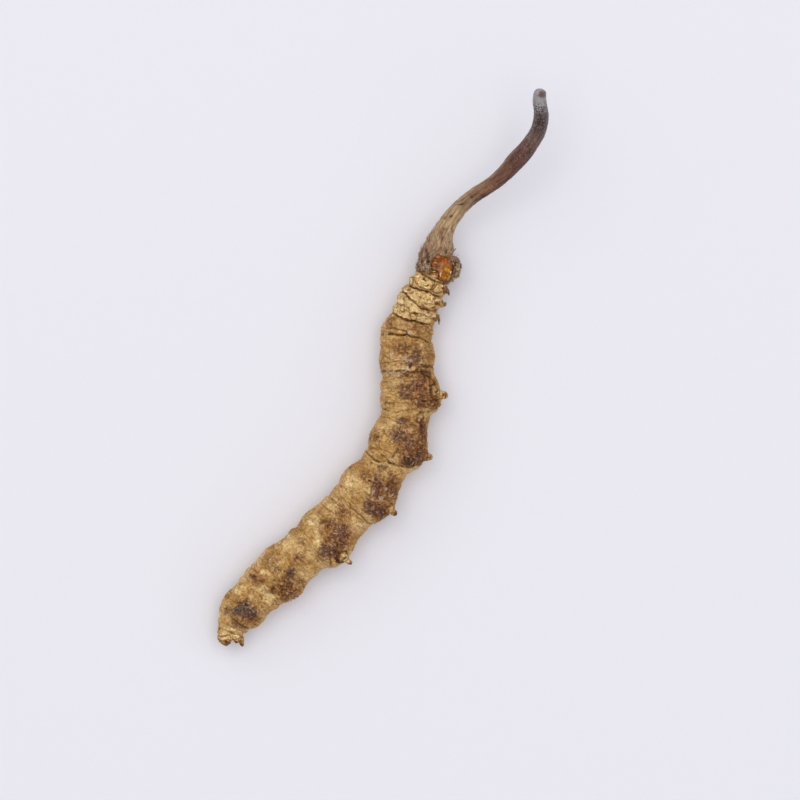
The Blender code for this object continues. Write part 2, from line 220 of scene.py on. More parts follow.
# Feet on the upper side: kind, then px of a point, its height in millimetres and the radius there.
FEET = (
    ("leg", (437, 288.5, 3.5, 0.55), (441, 289, 3.5, 0.62), (444.5, 290, 3.4, 0.52),
     (446.8, 291.2, 3.35, 0.36), (448.3, 293, 3.3, 0.22), (448.9, 295.5, 3.2, 0.08)),
    ("leg", (432, 304, 3.4, 0.50), (437, 304.4, 3.35, 0.40), (440.5, 304.8, 3.3, 0.33),
     (443.4, 304.8, 3.2, 0.30), (444.9, 303.6, 3.15, 0.20), (445.5, 302, 3.1, 0.08)),
    ("leg", (428, 317, 3.4, 0.50), (432.5, 318, 3.3, 0.40), (436, 317.6, 3.25, 0.32),
     (438.2, 316.4, 3.2, 0.24), (439.6, 315.2, 3.15, 0.12)),
    ("leg", (436.6, 316.5, 3.2, 0.20), (438.6, 318.5, 3.1, 0.19), (439.0, 321, 3.05, 0.15),
     (438.7, 323.4, 3.0, 0.13), (438.2, 324.4, 3.0, 0.06)),
    ("proleg", (432, 393, 3.4, 0.80), (437, 394, 3.5, 0.66), (440, 395, 3.5, 0.52),
     (443.4, 395.2, 3.4, 0.46), (446, 395.4, 3.35, 0.40), (447.6, 395.4, 3.3, 0.18)),
    ("proleg", (419, 455.6, 3.6, 0.72), (423.5, 456.2, 3.7, 0.60), (427, 456.6, 3.6, 0.48),
     (429.4, 457, 3.5, 0.42), (431, 457.2, 3.45, 0.34), (432, 457.3, 3.4, 0.16)),
    ("proleg", (384, 506, 3.8, 0.62), (388, 508.6, 3.9, 0.50), (391.5, 511, 3.8, 0.38),
     (394, 512.6, 3.7, 0.34), (395.8, 514, 3.6, 0.28), (396.6, 514.8, 3.55, 0.12)),
    ("proleg", (339, 552.5, 3.7, 0.62), (343, 556.5, 3.8, 0.46), (346.5, 559.5, 3.7, 0.34),
     (349.2, 561.8, 3.6, 0.32), (350.9, 563.3, 3.5, 0.24), (351.5, 563.9, 3.45, 0.10)),
)
LOWER_FEET_TURN = math.radians(-13)  # the lower feet mirror the upper ones about this angle
CLASPERS = (
    ((224, 631, 2.3, 0.60), (224.4, 634.5, 2.6, 0.70), (224.8, 638, 2.75, 0.72),
     (225.4, 641.4, 2.65, 0.60), (226.4, 644, 2.5, 0.40), (227, 645.8, 2.4, 0.14)),
    ((220.6, 634, 2.1, 0.30), (220, 637, 2.2, 0.34), (220.8, 640, 2.2, 0.32), (222.6, 642.6, 2.2, 0.22)),
    ((229, 637.4, 3.1, 0.16), (229.6, 640, 3.15, 0.24), (228.6, 642.6, 2.95, 0.24),
     (226, 643.4, 2.9, 0.14)),
    ((233, 632, 2.3, 0.50), (234.8, 635.5, 2.55, 0.56), (236.4, 638.4, 2.7, 0.52),
     (236.8, 640.8, 2.6, 0.34), (237, 642.4, 2.4, 0.14)),
    ((238, 634, 2.2, 0.46), (240, 638, 2.3, 0.42), (241, 641.6, 2.2, 0.34), (241.4, 643.6, 2.1, 0.30),
     (242, 645.6, 2.0, 0.24), (242.2, 646.8, 2.0, 0.08)),
)

# Stains of the larva's skin: px of the middle, half-sizes across and down in px, and strength.
SKIN_STAINS = {
    "wash": (
        (391, 323, 6, 7, 0.6), (406, 326, 10, 6, 0.50), (422, 329, 10, 8, 0.7), (412, 351, 17, 13, 0.65),
        (399, 349, 13, 6, 0.5), (409, 363, 13, 5, 0.6), (429, 356, 7, 13, 0.4), (419, 388, 17, 20, 0.95),
        (402, 390, 9, 12, 0.5), (403, 375, 8, 4, 0.6), (412, 438, 17, 22, 0.95), (412, 452, 16, 13, 0.9),
        (375, 437, 7, 9, 0.55), (384, 498, 16, 26, 0.85), (366, 476, 9, 8, 0.6), (337, 538, 17, 20, 0.95),
        (343, 512, 9, 7, 0.6), (325, 524, 9, 9, 0.6), (290, 586, 16, 13, 0.9), (271, 561, 13, 13, 0.45),
        (300, 557, 8, 8, 0.5), (306, 543, 6, 7, 0.3), (245, 610, 17, 13, 0.8), (256, 578, 9, 8, 0.6),
        (236, 624, 10, 6, 0.4),
    ),
    "pale": (
        (425, 281, 12, 9, 1.0), (412, 296, 16, 9, 1.0), (428, 300, 14, 8, 0.9), (404, 311, 14, 8, 0.9),
        (424, 316, 12, 7, 1.0), (438, 286, 6, 7, 0.8), (398, 300, 6, 6, 0.9), (410, 281, 4, 5, 0.6),
        (269, 598, 7, 5, 0.9), (263, 589, 7, 4, 0.7), (317, 542, 4, 9, 0.7), (355, 490, 12, 14, 0.35),
        (386, 350, 5, 14, 0.3), (388, 389, 6, 14, 0.3), (384, 450, 8, 5, 0.3), (392, 509, 3, 3, 0.7),
        (345, 490, 6, 10, 0.4), (352, 478, 10, 8, 0.5), (313, 520, 9, 9, 0.6), (310, 552, 5, 10, 0.5),
        (286, 545, 7, 6, 0.6), (285, 557, 3, 7, 0.5), (228, 630, 8, 3, 0.9), (372, 467, 8, 5, 0.4),
        (394, 411, 10, 4, 0.5), (419, 417, 4, 4, 0.7), (352, 556, 4, 8, 0.6), (239, 590, 9, 7, 0.6),
        (225, 636, 7, 5, 0.8), (236, 637, 6, 4, 0.7), (257, 560, 4, 5, 0.5), (394, 441, 4, 4, 0.6),
        (264, 572, 4, 5, 0.6), (391, 481, 4, 4, 0.6), (343, 553, 4, 3, 0.8), (348.5, 560, 3, 2.5, 0.8),
        (382, 505, 3, 3, 0.5), (334, 543, 4, 6, 0.5),
    ),
    "crust": (
        (402, 346, 10, 5, 0.5), (423, 355, 5, 6, 0.25), (421, 370, 7, 6, 0.6), (424, 402, 10, 8, 0.8),
        (410, 397, 7, 5, 0.6), (404, 375, 7, 3, 0.7), (427, 376, 5, 6, 0.9), (435, 402, 6, 8, 0.9),
        (434, 385, 3, 7, 0.7), (370, 437, 3, 6, 0.5), (377, 447, 6, 3, 0.4), (384, 431, 3, 6, 0.4),
        (376, 438, 3, 4, 0.6), (397, 434, 8, 9, 0.7), (413, 458, 15, 10, 1.0), (423, 432, 4, 18, 0.65),
        (421, 451, 6, 8, 0.8), (366, 475, 8, 6, 0.5), (370, 506, 8, 9, 0.8), (382, 511, 9, 9, 0.8),
        (394, 488, 5, 12, 0.8), (341, 513, 8, 5, 0.4), (328, 522, 9, 7, 0.6), (336, 548, 10, 12, 0.9),
        (333, 537, 9, 12, 0.4), (303, 540, 6, 5, 0.3), (298, 558, 7, 5, 0.6), (271, 560, 10, 10, 0.35),
        (286, 590, 11, 12, 0.7), (273, 590, 4, 4, 0.8), (290, 574, 7, 9, 0.8), (253, 576, 4, 3, 0.8),
        (259, 582, 6, 4, 0.6), (430, 457, 2.6, 2, 0.7), (250, 615, 11, 7, 0.6), (256, 620, 7, 5, 0.5),
        (245, 601, 5, 5, 0.6), (229, 598, 5, 6, 0.4), (227, 610, 5, 4, 0.5), (236, 625, 6, 3, 0.3),
        (227, 642, 3, 2, 0.8), (236, 641.4, 2.4, 1.6, 0.8), (445, 395, 2.6, 2.6, 0.8),
        (404, 308, 6, 4, 0.3), (438, 304, 2.5, 3, 0.8), (433, 319, 3, 3, 0.6), (445, 291, 3, 5, 0.7),
        (409, 290, 2.5, 1.5, 0.8), (417, 293, 4, 2, 0.35), (421, 298, 2, 3, 0.6), (427, 303.5, 4, 1.6, 0.6),
        (404, 299, 1.5, 1.5, 0.7), (412, 304.5, 3, 1.6, 0.45), (408, 311, 3, 2, 0.5),
        (416, 313.5, 2, 1.5, 0.8), (421, 317, 3, 2, 0.5), (429, 311.5, 2.4, 1.4, 0.7),
        (434, 299, 2, 2, 0.8), (430, 296.5, 2, 1.4, 0.7), (390, 322, 4, 5, 0.5), (394, 512.6, 2, 2, 0.5),
    ),
    "rust": (
        (420, 385, 9, 9, 0.7), (377, 488, 7, 13, 0.85), (343, 535, 9, 12, 0.75), (287, 587, 11, 10, 0.5),
        (243, 629, 6, 4, 0.5), (413.5, 293, 4, 4, 0.35), (407, 351, 9, 6, 0.35), (420, 424, 4, 9, 0.6),
        (387, 504, 8, 7, 0.45), (282, 597, 6, 4, 0.3), (262, 598, 2, 2, 0.7), (275, 579.5, 3, 2, 0.6),
        (415, 327, 7, 5, 0.4), (372, 474, 6, 4, 0.3), (424, 310, 4, 2, 0.5), (410, 447, 10, 10, 0.6),
        (424, 402, 8, 6, 0.6), (334, 528, 4, 6, 0.4), (391, 480, 4, 12, 0.6), (425, 433, 3.5, 18, 0.7),
    ),
    "dusk": (
        (388, 323, 4, 5, 0.5), (416, 357, 8, 11, 0.62), (404, 345, 5, 4, 0.45), (405, 391, 10, 10, 0.57),
        (417, 383, 9, 8, 0.5), (402, 420.5, 7, 4, 0.9), (397, 436, 10, 9, 0.62), (410, 442, 8, 9, 0.55),
        (383, 467.5, 6, 4, 0.75), (378, 482, 6, 10, 0.65), (369, 504, 8, 9, 0.65), (379, 512, 10, 7, 0.6),
        (341, 533, 8, 12, 0.65), (327, 551, 11, 10, 0.70), (271, 560, 9, 9, 0.35), (299, 558, 7, 5, 0.45),
        (244, 609, 18, 10, 0.5), (252, 614, 7, 5, 0.6), (296, 598, 7, 4, 0.5), (445, 288, 3, 4, 0.5),
        (255, 575, 4, 3, 0.6), (342, 512, 8, 6, 0.5), (302, 541, 6, 5, 0.35), (436, 304, 2, 3, 0.6),
        (434, 318.5, 2.5, 3, 0.6), (236, 624, 10, 5, 0.45), (363, 476, 7, 7, 0.35), (414, 459, 7, 5, 0.45),
        (288, 586, 8, 8, 0.35), (333, 522, 6, 5, 0.4), (424, 395, 6, 8, 0.4), (410, 461, 12, 5, 0.6),
        (420, 455, 5, 7, 0.5),
    ),
    "slate": (
        (291, 572.5, 6, 9, 0.65), (277, 569, 6, 4, 0.5), (245, 609, 10, 7, 0.55), (236, 611, 6, 4, 0.5),
        (253, 613, 7, 4, 0.5), (247, 603, 3, 4, 0.6), (326, 552, 7, 7, 0.4), (240, 599, 4, 3, 0.4),
    ),
    "dark": (
        (404, 433, 1.2, 3, 0.8), (410, 364, 2.6, 4, 1.0), (427, 366.5, 6, 2, 0.7), (424, 373, 2.5, 4, 0.6),
        (421, 403, 6, 4, 0.5), (411, 464, 8, 3, 0.6), (409, 461, 1.2, 4, 1.0), (414, 464, 1.2, 3.5, 0.9),
        (428.5, 457.5, 1.5, 1.3, 1.0), (380, 515, 6, 4, 0.4), (388, 487, 1.4, 10, 0.7),
        (373, 512, 0.9, 6, 0.7), (330, 555, 0.9, 8, 0.8), (337, 545, 0.9, 5, 0.6), (338, 557, 2, 5, 0.9),
        (341, 562, 4, 2, 0.8), (329.5, 525, 2.4, 1.8, 0.8), (241, 645.4, 2, 1.4, 0.9),
        (423.5, 279.6, 2, 1.4, 1.0), (427, 286.2, 3, 1, 1.0), (449, 293, 1.5, 2.8, 1.0),
        (443, 395.5, 1.6, 1.6, 1.0), (383.5, 512, 2.4, 2.4, 0.8), (345, 557.5, 1.4, 1.4, 0.9),
        (444, 283.5, 2, 1.6, 1.0), (443, 288, 1.5, 1.6, 0.9), (395, 513.6, 1.6, 1.6, 1.0),
        (399.5, 347, 1.4, 0.9, 0.9), (407, 355.5, 0.9, 1, 0.9), (369.5, 480, 1.2, 0.8, 0.8),
        (439, 323, 1.6, 1.6, 1.0), (391, 463, 2, 1.4, 0.8), (416, 372, 1.2, 1.4, 0.8),
        (240, 602, 1.5, 1.2, 0.8), (246, 604.5, 1.4, 2.4, 0.7), (276, 602, 1.5, 2, 0.5),
        (266.5, 551, 1.6, 0.9, 0.6), (350.5, 563, 1.6, 1.6, 0.9), (384, 499, 2, 2, 0.5),
        (406, 331.5, 1.8, 1.2, 0.8), (430, 388, 1.4, 6, 0.8), (432, 401, 1.6, 4, 0.8),
        (435, 408, 2.4, 1.6, 0.6), (227.6, 642, 2.4, 1.8, 0.9), (236, 641, 1.8, 1.6, 0.8),
        (421.5, 428, 1.4, 12, 0.8), (418, 449, 2, 3, 0.6), (273.5, 589.5, 1.6, 2.4, 0.7),
        (286, 586, 2, 1.6, 0.5), (291, 571, 1.6, 3, 0.6), (385, 409, 3, 0.9, 0.6), (437, 391, 1.4, 2, 0.6),
        (405, 440, 1.2, 4, 0.5),
    ),
}
# Tufts of white fungus threads on the skin: px and radius in px.
TUFTS = (
    (409, 332, 1.9), (387, 333, 1.6), (391, 355.5, 1.6), (405, 358, 2.4), (411, 360, 1.3),
    (389, 367, 1.7), (390, 373, 1.5), (394, 372, 1.4), (399, 374, 1.7), (402.5, 372.5, 1.5),
    (405.5, 371, 1.6), (408.5, 368.5, 1.5), (415, 375, 1.0), (412, 379, 0.8), (394, 385, 1.7),
    (402, 381, 1.0), (397.5, 395, 1.4), (416, 401, 1.3), (433, 387, 0.8), (391, 460.5, 1.6),
    (408, 430, 1.0), (403, 435, 1.1), (396, 438, 0.9), (412.5, 460, 0.7), (374, 492, 2.2),
    (381.5, 497, 2.0), (386.5, 489, 1.5), (378, 476, 1.1), (337.5, 502, 1.4), (391, 496, 1.0),
    (334, 533, 1.1), (340, 526, 0.9), (303, 550, 0.9), (304, 561, 0.8), (399, 472, 0.9), (386, 405, 0.9),
)

# The stalk, from the collar's rim to the tip: px of the centre, height and radius in millimetres. A script
# measured the centres and radii on the same mask. The heights are guesses.
STALK = (
    (436.4, 274.5, 3.08, 2.20), (438.2, 268.5, 3.15, 2.46), (437.7, 264, 3.19, 2.36),
    (436.6, 259.5, 3.25, 2.06), (436.6, 255, 3.32, 1.93), (438, 250.3, 3.38, 1.74),
    (439.3, 246, 3.43, 1.64), (440.2, 241.3, 3.49, 1.49), (441.5, 236.9, 3.55, 1.31),
    (443.2, 232.7, 3.62, 1.18), (445.2, 228.5, 3.71, 1.08), (449.7, 220.6, 3.90, 0.99),
    (455.2, 213.5, 4.09, 0.92), (461.1, 206.9, 4.30, 0.86), (467.8, 200.9, 4.54, 0.81),
    (474.5, 195.6, 4.79, 0.80), (481.9, 190.9, 5.07, 0.80), (489.3, 186.3, 5.35, 0.81),
    (496, 181.3, 5.65, 0.84), (502.6, 175.6, 5.97, 0.88), (508.7, 169.4, 6.28, 0.96),
    (514.4, 162.8, 6.57, 1.01), (520.4, 156.5, 6.85, 1.01), (526.1, 150, 7.14, 0.95),
    (531, 143, 7.46, 0.90), (535.6, 135.8, 7.82, 0.88), (538.6, 128, 8.22, 0.84),
    (540, 119.8, 8.67, 0.84), (539.7, 111.5, 9.15, 0.77), (538.3, 104, 9.62, 0.76),
    (538.8, 96, 10.15, 0.69),
)
# Rings of the tip: share of the end's radius, and how far past it.
STALK_TIP = ((0.93, 0.14), (0.80, 0.27), (0.58, 0.38), (0.30, 0.45))
COLLAR_LENGTH = 3.2  # its furrows fade out from 0.6 to 2.3 times as far up the stalk
# How far the collar's torn rim is from its first ring, in millimetres, at angles over level round the axis.
RIM_SHIFT = ((0, 0), (40, 0.05), (58, 0.1), (75, 0.1), (95, -0.3), (110, -0.8), (125, -0.6), (150, 0.1),
             (180, 0.5), (270, 0), (360, 0))
# Grooves between the collar's strands: depth, width, then px.
STALK_GROOVES = (
    (0.32, 0.12, (433, 243), (430.5, 249), (428.5, 255), (427.5, 262)),
    (0.26, 0.13, (445.5, 235), (443, 241), (441.5, 247), (440.5, 252)),
    (0.34, 0.13, (423.5, 260), (421, 264), (418.5, 269)),
    (0.22, 0.10, (447.5, 246), (446, 251), (447, 256)),
    (0.20, 0.10, (437, 246), (435, 251), (434.5, 256)),
    (0.24, 0.10, (430, 238), (428.5, 243), (427.5, 248)),
    (0.22, 0.10, (452, 249), (453.5, 254), (454, 259)),
    (0.20, 0.10, (443, 228), (441.5, 233), (441, 238)),
    (0.12, 0.10, (459, 205), (455, 209.5), (450, 217)),
    (0.12, 0.10, (474, 196), (468, 201), (463, 206)),
)
# Crumpled flaps of torn flesh round the collar's mouth, and two torn strands: px, height and radius of
# each point.
FRILLS = (
    ((450, 259.5, 4.35, 0.20), (454.5, 261.5, 4.25, 0.28), (457.6, 265, 4.0, 0.28),
     (458.6, 269, 3.7, 0.22)),
    ((453.8, 261.5, 4.6, 0.18), (455.6, 265.5, 4.7, 0.26), (455.8, 270.5, 4.5, 0.26),
     (453.4, 276, 4.1, 0.16)),
    ((457.4, 271, 3.7, 0.22), (455.4, 274.5, 3.6, 0.20), (452.6, 277.6, 3.5, 0.18)),
    ((452.5, 279, 3.8, 0.20), (448.5, 281.8, 3.75, 0.27), (444.5, 283.2, 3.7, 0.14)),
    ((420.5, 263, 4.1, 0.26), (418.3, 266.5, 3.9, 0.28), (418.2, 270, 3.6, 0.18)),
    ((424, 263, 4.75, 0.22), (428, 266.5, 4.95, 0.30), (431, 270.5, 4.95, 0.20)),
    ((421, 267.5, 4.35, 0.24), (425, 270, 4.75, 0.22), (428.5, 273.5, 4.85, 0.14)),
    ((431.5, 242, 4.0, 0.20), (428.2, 238.8, 4.1, 0.12), (425.8, 236.4, 4.2, 0.03)),
    ((451.5, 252.5, 4.0, 0.22), (453.9, 250.4, 4.1, 0.14), (456.4, 248.6, 4.15, 0.03)),
)
# The opening torn in the collar over the head, in px.
WINDOW = (
    (431, 270), (429.5, 266), (430.5, 262), (434, 259), (436, 255.6), (440, 255.2), (442, 258),
    (447, 258.6), (451, 260.4), (453.2, 264), (452.8, 270), (451.8, 275), (449.8, 279.5), (446, 283.4),
    (441, 284), (437, 280.5), (432.5, 274.5),
)
WINDOW_FLOOR, WINDOW_TOP = 3.5, 9.0  # heights between which it is cut
TIP_SPOT = (540.5, 96.9, 3.7, 3.7, 1.0)  # px, half-sizes and strength of the bare spot on the tip
TIP_SPOT_BARE = 0.9  # how much of the frost it lacks
STALK_STAINS = {
    "flesh": (
        (447, 281.5, 6, 3, 1.0), (453, 280, 6, 4, 0.9), (424, 266, 6, 5, 0.9), (452, 258, 5, 4, 0.5),
        (436, 253, 3, 2.5, 0.7), (450, 241, 4, 8, 0.4), (436, 241, 3, 8, 0.4), (428, 258, 2.5, 4, 0.4),
    ),
    "ash": (
        (456.4, 268, 2.2, 4, 0.7), (450, 259.5, 5, 2, 0.7), (443, 258, 3, 2, 0.8), (420, 262, 2, 3, 0.4),
        (458, 268, 4, 8, 1.0), (453, 280.5, 5, 3.4, 0.9), (423, 267, 5, 3, 0.6), (456, 203, 3, 2, 0.6),
        (426, 244, 3, 8, 0.4), (431, 252, 3, 5, 0.5),
    ),
    "rust": (
        (444, 218, 4, 3, 0.6), (441, 233, 3, 6, 0.6), (453, 255, 3, 5, 0.5), (441, 242, 3, 5, 0.4),
        (425, 250, 3, 7, 0.6), (456, 267, 2, 4, 0.3), (453.6, 264, 1.4, 5, 0.9), (456, 261, 2, 1.6, 0.6),
        (420, 257, 3, 8, 0.4), (452, 231, 2, 4, 0.5), (491, 187, 8, 8, 0.5), (480, 195, 6, 5, 0.4),
    ),
    # Dark spots of the flesh, and painted shade along the collar's grooves between its strands.
    "dark": (
        (427.6, 262, 1.8, 2.6, 1.0), (426.6, 253, 1.5, 5, 0.8), (418.8, 268.5, 1.4, 3, 0.9),
        (430.5, 269, 2.5, 1.6, 0.9), (455.5, 274, 2, 1.6, 0.7), (460.5, 269, 1.0, 1.6, 0.8),
        (451, 217, 2, 2, 0.7), (460, 205, 4.5, 1.3, 0.7), (471, 197.5, 2, 1.8, 0.7), (486, 197, 6, 4, 0.7),
        (478, 202, 5, 3, 0.5), (442, 240, 1.3, 3.5, 0.8), (429, 241, 1.2, 4, 0.7), (422, 262, 1.2, 3, 0.8),
        (446.5, 252, 1.6, 3, 0.6), (453.3, 268, 1.2, 2.5, 0.9), (457, 271, 1.0, 1.4, 0.8),
        (457.5, 263, 1.2, 1.0, 0.8), (445, 229, 2, 1.4, 0.5), (432, 233, 1.2, 2, 0.6),
        (442.5, 283.6, 2.4, 1.6, 0.8), (460.6, 262, 1.2, 2.4, 0.7), (457.5, 274, 1.0, 1.6, 0.8),
        (454.8, 263.5, 0.9, 2.4, 0.8), (433, 246, 1.2, 3, 0.5), (467, 210, 3, 3, 0.4),
    ),
}

# The head capsule: px and height of its centre, half-sizes across, lengthways and upright, and its turn.
HEAD_CENTRE = (441.4, 268.8, 3.80)
HEAD_HALF_SIZE = (1.42, 1.50, 1.50)
HEAD_FULLNESS = 2.5  # 2 is an egg, and more is fuller at the corners
HEAD_TURN = math.radians(-17)
# Sutures of the capsule: depth, width, then px.
SUTURES = (
    (0.03, 0.05, (441.4, 260), (440.6, 263), (439.6, 266)),
    (0.06, 0.05, (437.6, 271.4), (435, 273), (432, 272.8), (430, 271.6)),
    (0.06, 0.04, (438.2, 272), (438.4, 276), (438.8, 281)),
    (0.04, 0.05, (452.4, 264), (452.2, 269), (451.6, 274), (450.4, 279)),
    (0.02, 0.05, (442, 272.4), (445, 273.4), (448.4, 272.6)),
    (0.03, 0.05, (437.5, 266.5), (434, 267.4), (431, 266.6)),
)
HEAD_STAINS = {
    "gold": (
        (446, 277, 6, 4, 0.75), (448, 271, 4, 5, 0.8), (433.5, 277, 4, 3.4, 0.8), (434, 273.6, 3, 2, 0.6),
        (444, 268, 3, 4, 0.4),
    ),
    "rust": (
        (441, 260.4, 12, 2.6, 0.9), (451, 263, 3, 3.4, 0.9), (434, 264.4, 4, 2.2, 0.8),
        (446, 262, 7, 2, 0.7), (445, 281.4, 5, 1.4, 0.8), (431, 268, 2, 4, 0.6),
    ),
    "deep": (
        (434, 270.6, 3.6, 1.8, 0.9), (440, 259.4, 1.6, 1.6, 0.6), (446, 273.4, 3.4, 0.8, 0.5),
        (436.6, 276.6, 0.9, 3, 0.5), (451, 278.6, 1.6, 2.4, 0.7), (443, 281, 5, 1.6, 0.8),
        (446.5, 266, 2.6, 1, 0.4),
    ),
    # Painted highlights, where the glossy shell catches the light.
    "painted_glints": (
        (440.2, 276, 1.0, 3.0, 0.5), (450.4, 273, 1.0, 2.2, 0.9), (433.5, 276.6, 3.2, 2.4, 0.5),
        (435.5, 262.5, 1.6, 0.8, 0.5), (433.8, 271.4, 2, 0.8, 0.7), (444.5, 266, 1.8, 0.6, 0.4),
    ),
    "dusk": (
        (439.6, 267.8, 2.4, 2.6, 1.0), (450.6, 264, 1.6, 3, 0.8), (431.6, 269.6, 1.8, 1.8, 0.8),
        (437, 272, 1.4, 1, 0.5),
    ),
}
BEAD = (437.9, 257.6, 4.85)  # px and height of the bead of dried juice at the head's upper edge
BEAD_HALF_SIZE = (0.31, 0.35, 0.27)


def hexa(code):
    """A linear colour from an sRGB hex value."""
    parts = [int(code[i : i + 2], 16) / 255 for i in (1, 3, 5)]
    return tuple(c / 12.92 if c <= 0.04045 else ((c + 0.055) / 1.055) ** 2.4 for c in parts) + (1.0,)


def from_photo(px):
    """Millimetres of the part under pixels of the photograph."""
    px = np.atleast_2d(np.array(px, float))[:, :2]
    return (px - ORIGIN_PX) * (PIXEL, -PIXEL)


def lifted(rows):
    """Points in millimetres from rows of px and a height."""
    rows = np.array(rows, float)
    return np.column_stack([from_photo(rows), rows[:, 2]])


def unit(vectors):
    return vectors / np.linalg.norm(vectors, axis=-1, keepdims=True)


def smooth_step(value, low, high):
    share = np.clip((value - low) / (high - low), 0, 1)
    return share * share * (3 - 2 * share)


def rough(points, size, octaves=3):
    """Irregular bumps between about -1 and 1, about one to each size."""
    return np.array([noise.fractal(Vector(point), 0.7, 2.0, octaves) for point in np.asarray(points) / size])


FAR = 9.0  # millimetres, further than a fold or an edge reaches


def track_distance(spots, track):
    """Distance of flat spots from a track of flat points, or FAR when over a millimetre outside its box."""
    distance = np.full(len(spots), FAR)
    near = ((spots > track.min(0) - 1) & (spots < track.max(0) + 1)).all(1)
    for start, end in zip(track, track[1:]):
        run = end - start
        share = np.clip(((spots[near] - start) @ run) / (run @ run), 0, 1)
        gap = spots[near] - start - share[:, None] * run
        distance[near] = np.minimum(distance[near], np.linalg.norm(gap, axis=1))
    return distance


def depth_inside(spots, corners):
    """How deep flat spots are inside a closed outline. It is negative outside."""
    ring = np.vstack([corners, corners[:1]])
    within = np.zeros(len(spots), bool)
    for start, end in zip(ring, ring[1:]):
        between = (start[1] > spots[:, 1]) != (end[1] > spots[:, 1])
        rise = end[1] - start[1] if end[1] != start[1] else 1e-9
        within ^= between & (spots[:, 0] < start[0] + (spots[:, 1] - start[1]) * (end[0] - start[0]) / rise)
    return np.where(within, 1, -1) * track_distance(spots, ring)


STAIN_STRAY, STAIN_STRAY_SIZE = 1.5, 0.55  # px by which a stain's edge strays, and mm from bay to bay
STAIN_CORE, STAIN_REACH = 0.25, 1.55  # shares of a patch's half-size between which it fades out


def stain(points, patches):
    """How strongly patches given in px cover points, from 0 to 1, with uneven edges."""
    px = points[:, :2] / (PIXEL, -PIXEL) + ORIGIN_PX
    px += STAIN_STRAY * np.column_stack([rough(points + shift, STAIN_STRAY_SIZE, 2) for shift in (0, 9)])
    clear = np.ones(len(points))
    for x, y, wide, high, strength in patches:
        away = np.hypot((px[:, 0] - x) / wide, (px[:, 1] - y) / high)
        clear *= 1 - strength * (1 - smooth_step(away, STAIN_CORE, STAIN_REACH))
    return 1 - clear


def spline(knots, values, at):
    """Values at places along a natural cubic spline through the knots, with one row for each place."""
    values = np.asarray(values, float).reshape(len(knots), -1)
    steps = np.diff(knots)
    slopes = np.diff(values, axis=0) / steps[:, None]
    system = np.eye(len(knots))
    target = np.zeros_like(values)
    for i in range(1, len(knots) - 1):
        system[i, i - 1 : i + 2] = steps[i - 1], 2 * (steps[i - 1] + steps[i]), steps[i]
        target[i] = 6 * (slopes[i] - slopes[i - 1])
    bend = np.linalg.solve(system, target)
    i = np.clip(np.searchsorted(knots, at) - 1, 0, len(knots) - 2)
    step = steps[i][:, None]
    before = (at - knots[i])[:, None]
    after = (knots[i + 1] - at)[:, None]
    curved = (bend[i] * after**3 + bend[i + 1] * before**3) / (6 * step)
    straight = (values[i] / step - bend[i] * step / 6) * after
    straight += (values[i + 1] / step - bend[i + 1] * step / 6) * before
    return curved + straight


SAMPLE_STEP = 0.02


class Axis:
    """A smooth curve through points, with its directions forward, level to the side, and up."""

    def __init__(self, points):
        self.points = np.array(points, float)
        chords = np.linalg.norm(np.diff(self.points, axis=0), axis=1)
        self.knots = np.concatenate([[0], np.cumsum(chords)])
        self.length = self.knots[-1]
        self.samples = np.arange(0, self.length, SAMPLE_STEP)
        self.centre, self.forward, self.side, self.up = self.frames(self.samples)
        self.near = kdtree.KDTree(len(self.samples))
        for i, point in enumerate(self.centre):
            self.near.insert(point, i)
        self.near.balance()

    def frames(self, at, nudge=0.01):
        centre = spline(self.knots, self.points, at)
        ahead = spline(self.knots, self.points, at + nudge)
        forward = unit(ahead - spline(self.knots, self.points, at - nudge))
        side = unit(np.cross((0, 0, 1), forward))
        return centre, forward, side, np.cross(forward, side)

    def locate(self, points):
        """How far along the axis points lie, and how far to its side and above it."""
        i = np.array([self.near.find(point)[1] for point in points])
        off = points - self.centre[i]
        along = self.samples[i] + (off * self.forward[i]).sum(1)
        return along, (off * self.side[i]).sum(1), (off * self.up[i]).sum(1)

    def beside(self, spots):
        """The same for flat spots seen from above: how far along, and how far across."""
        gaps = spots[:, None, :] - self.centre[None, :, :2]
        i = (gaps**2).sum(2).argmin(1)
        return self.samples[i], ((spots - self.centre[i, :2]) * self.side[i, :2]).sum(1)


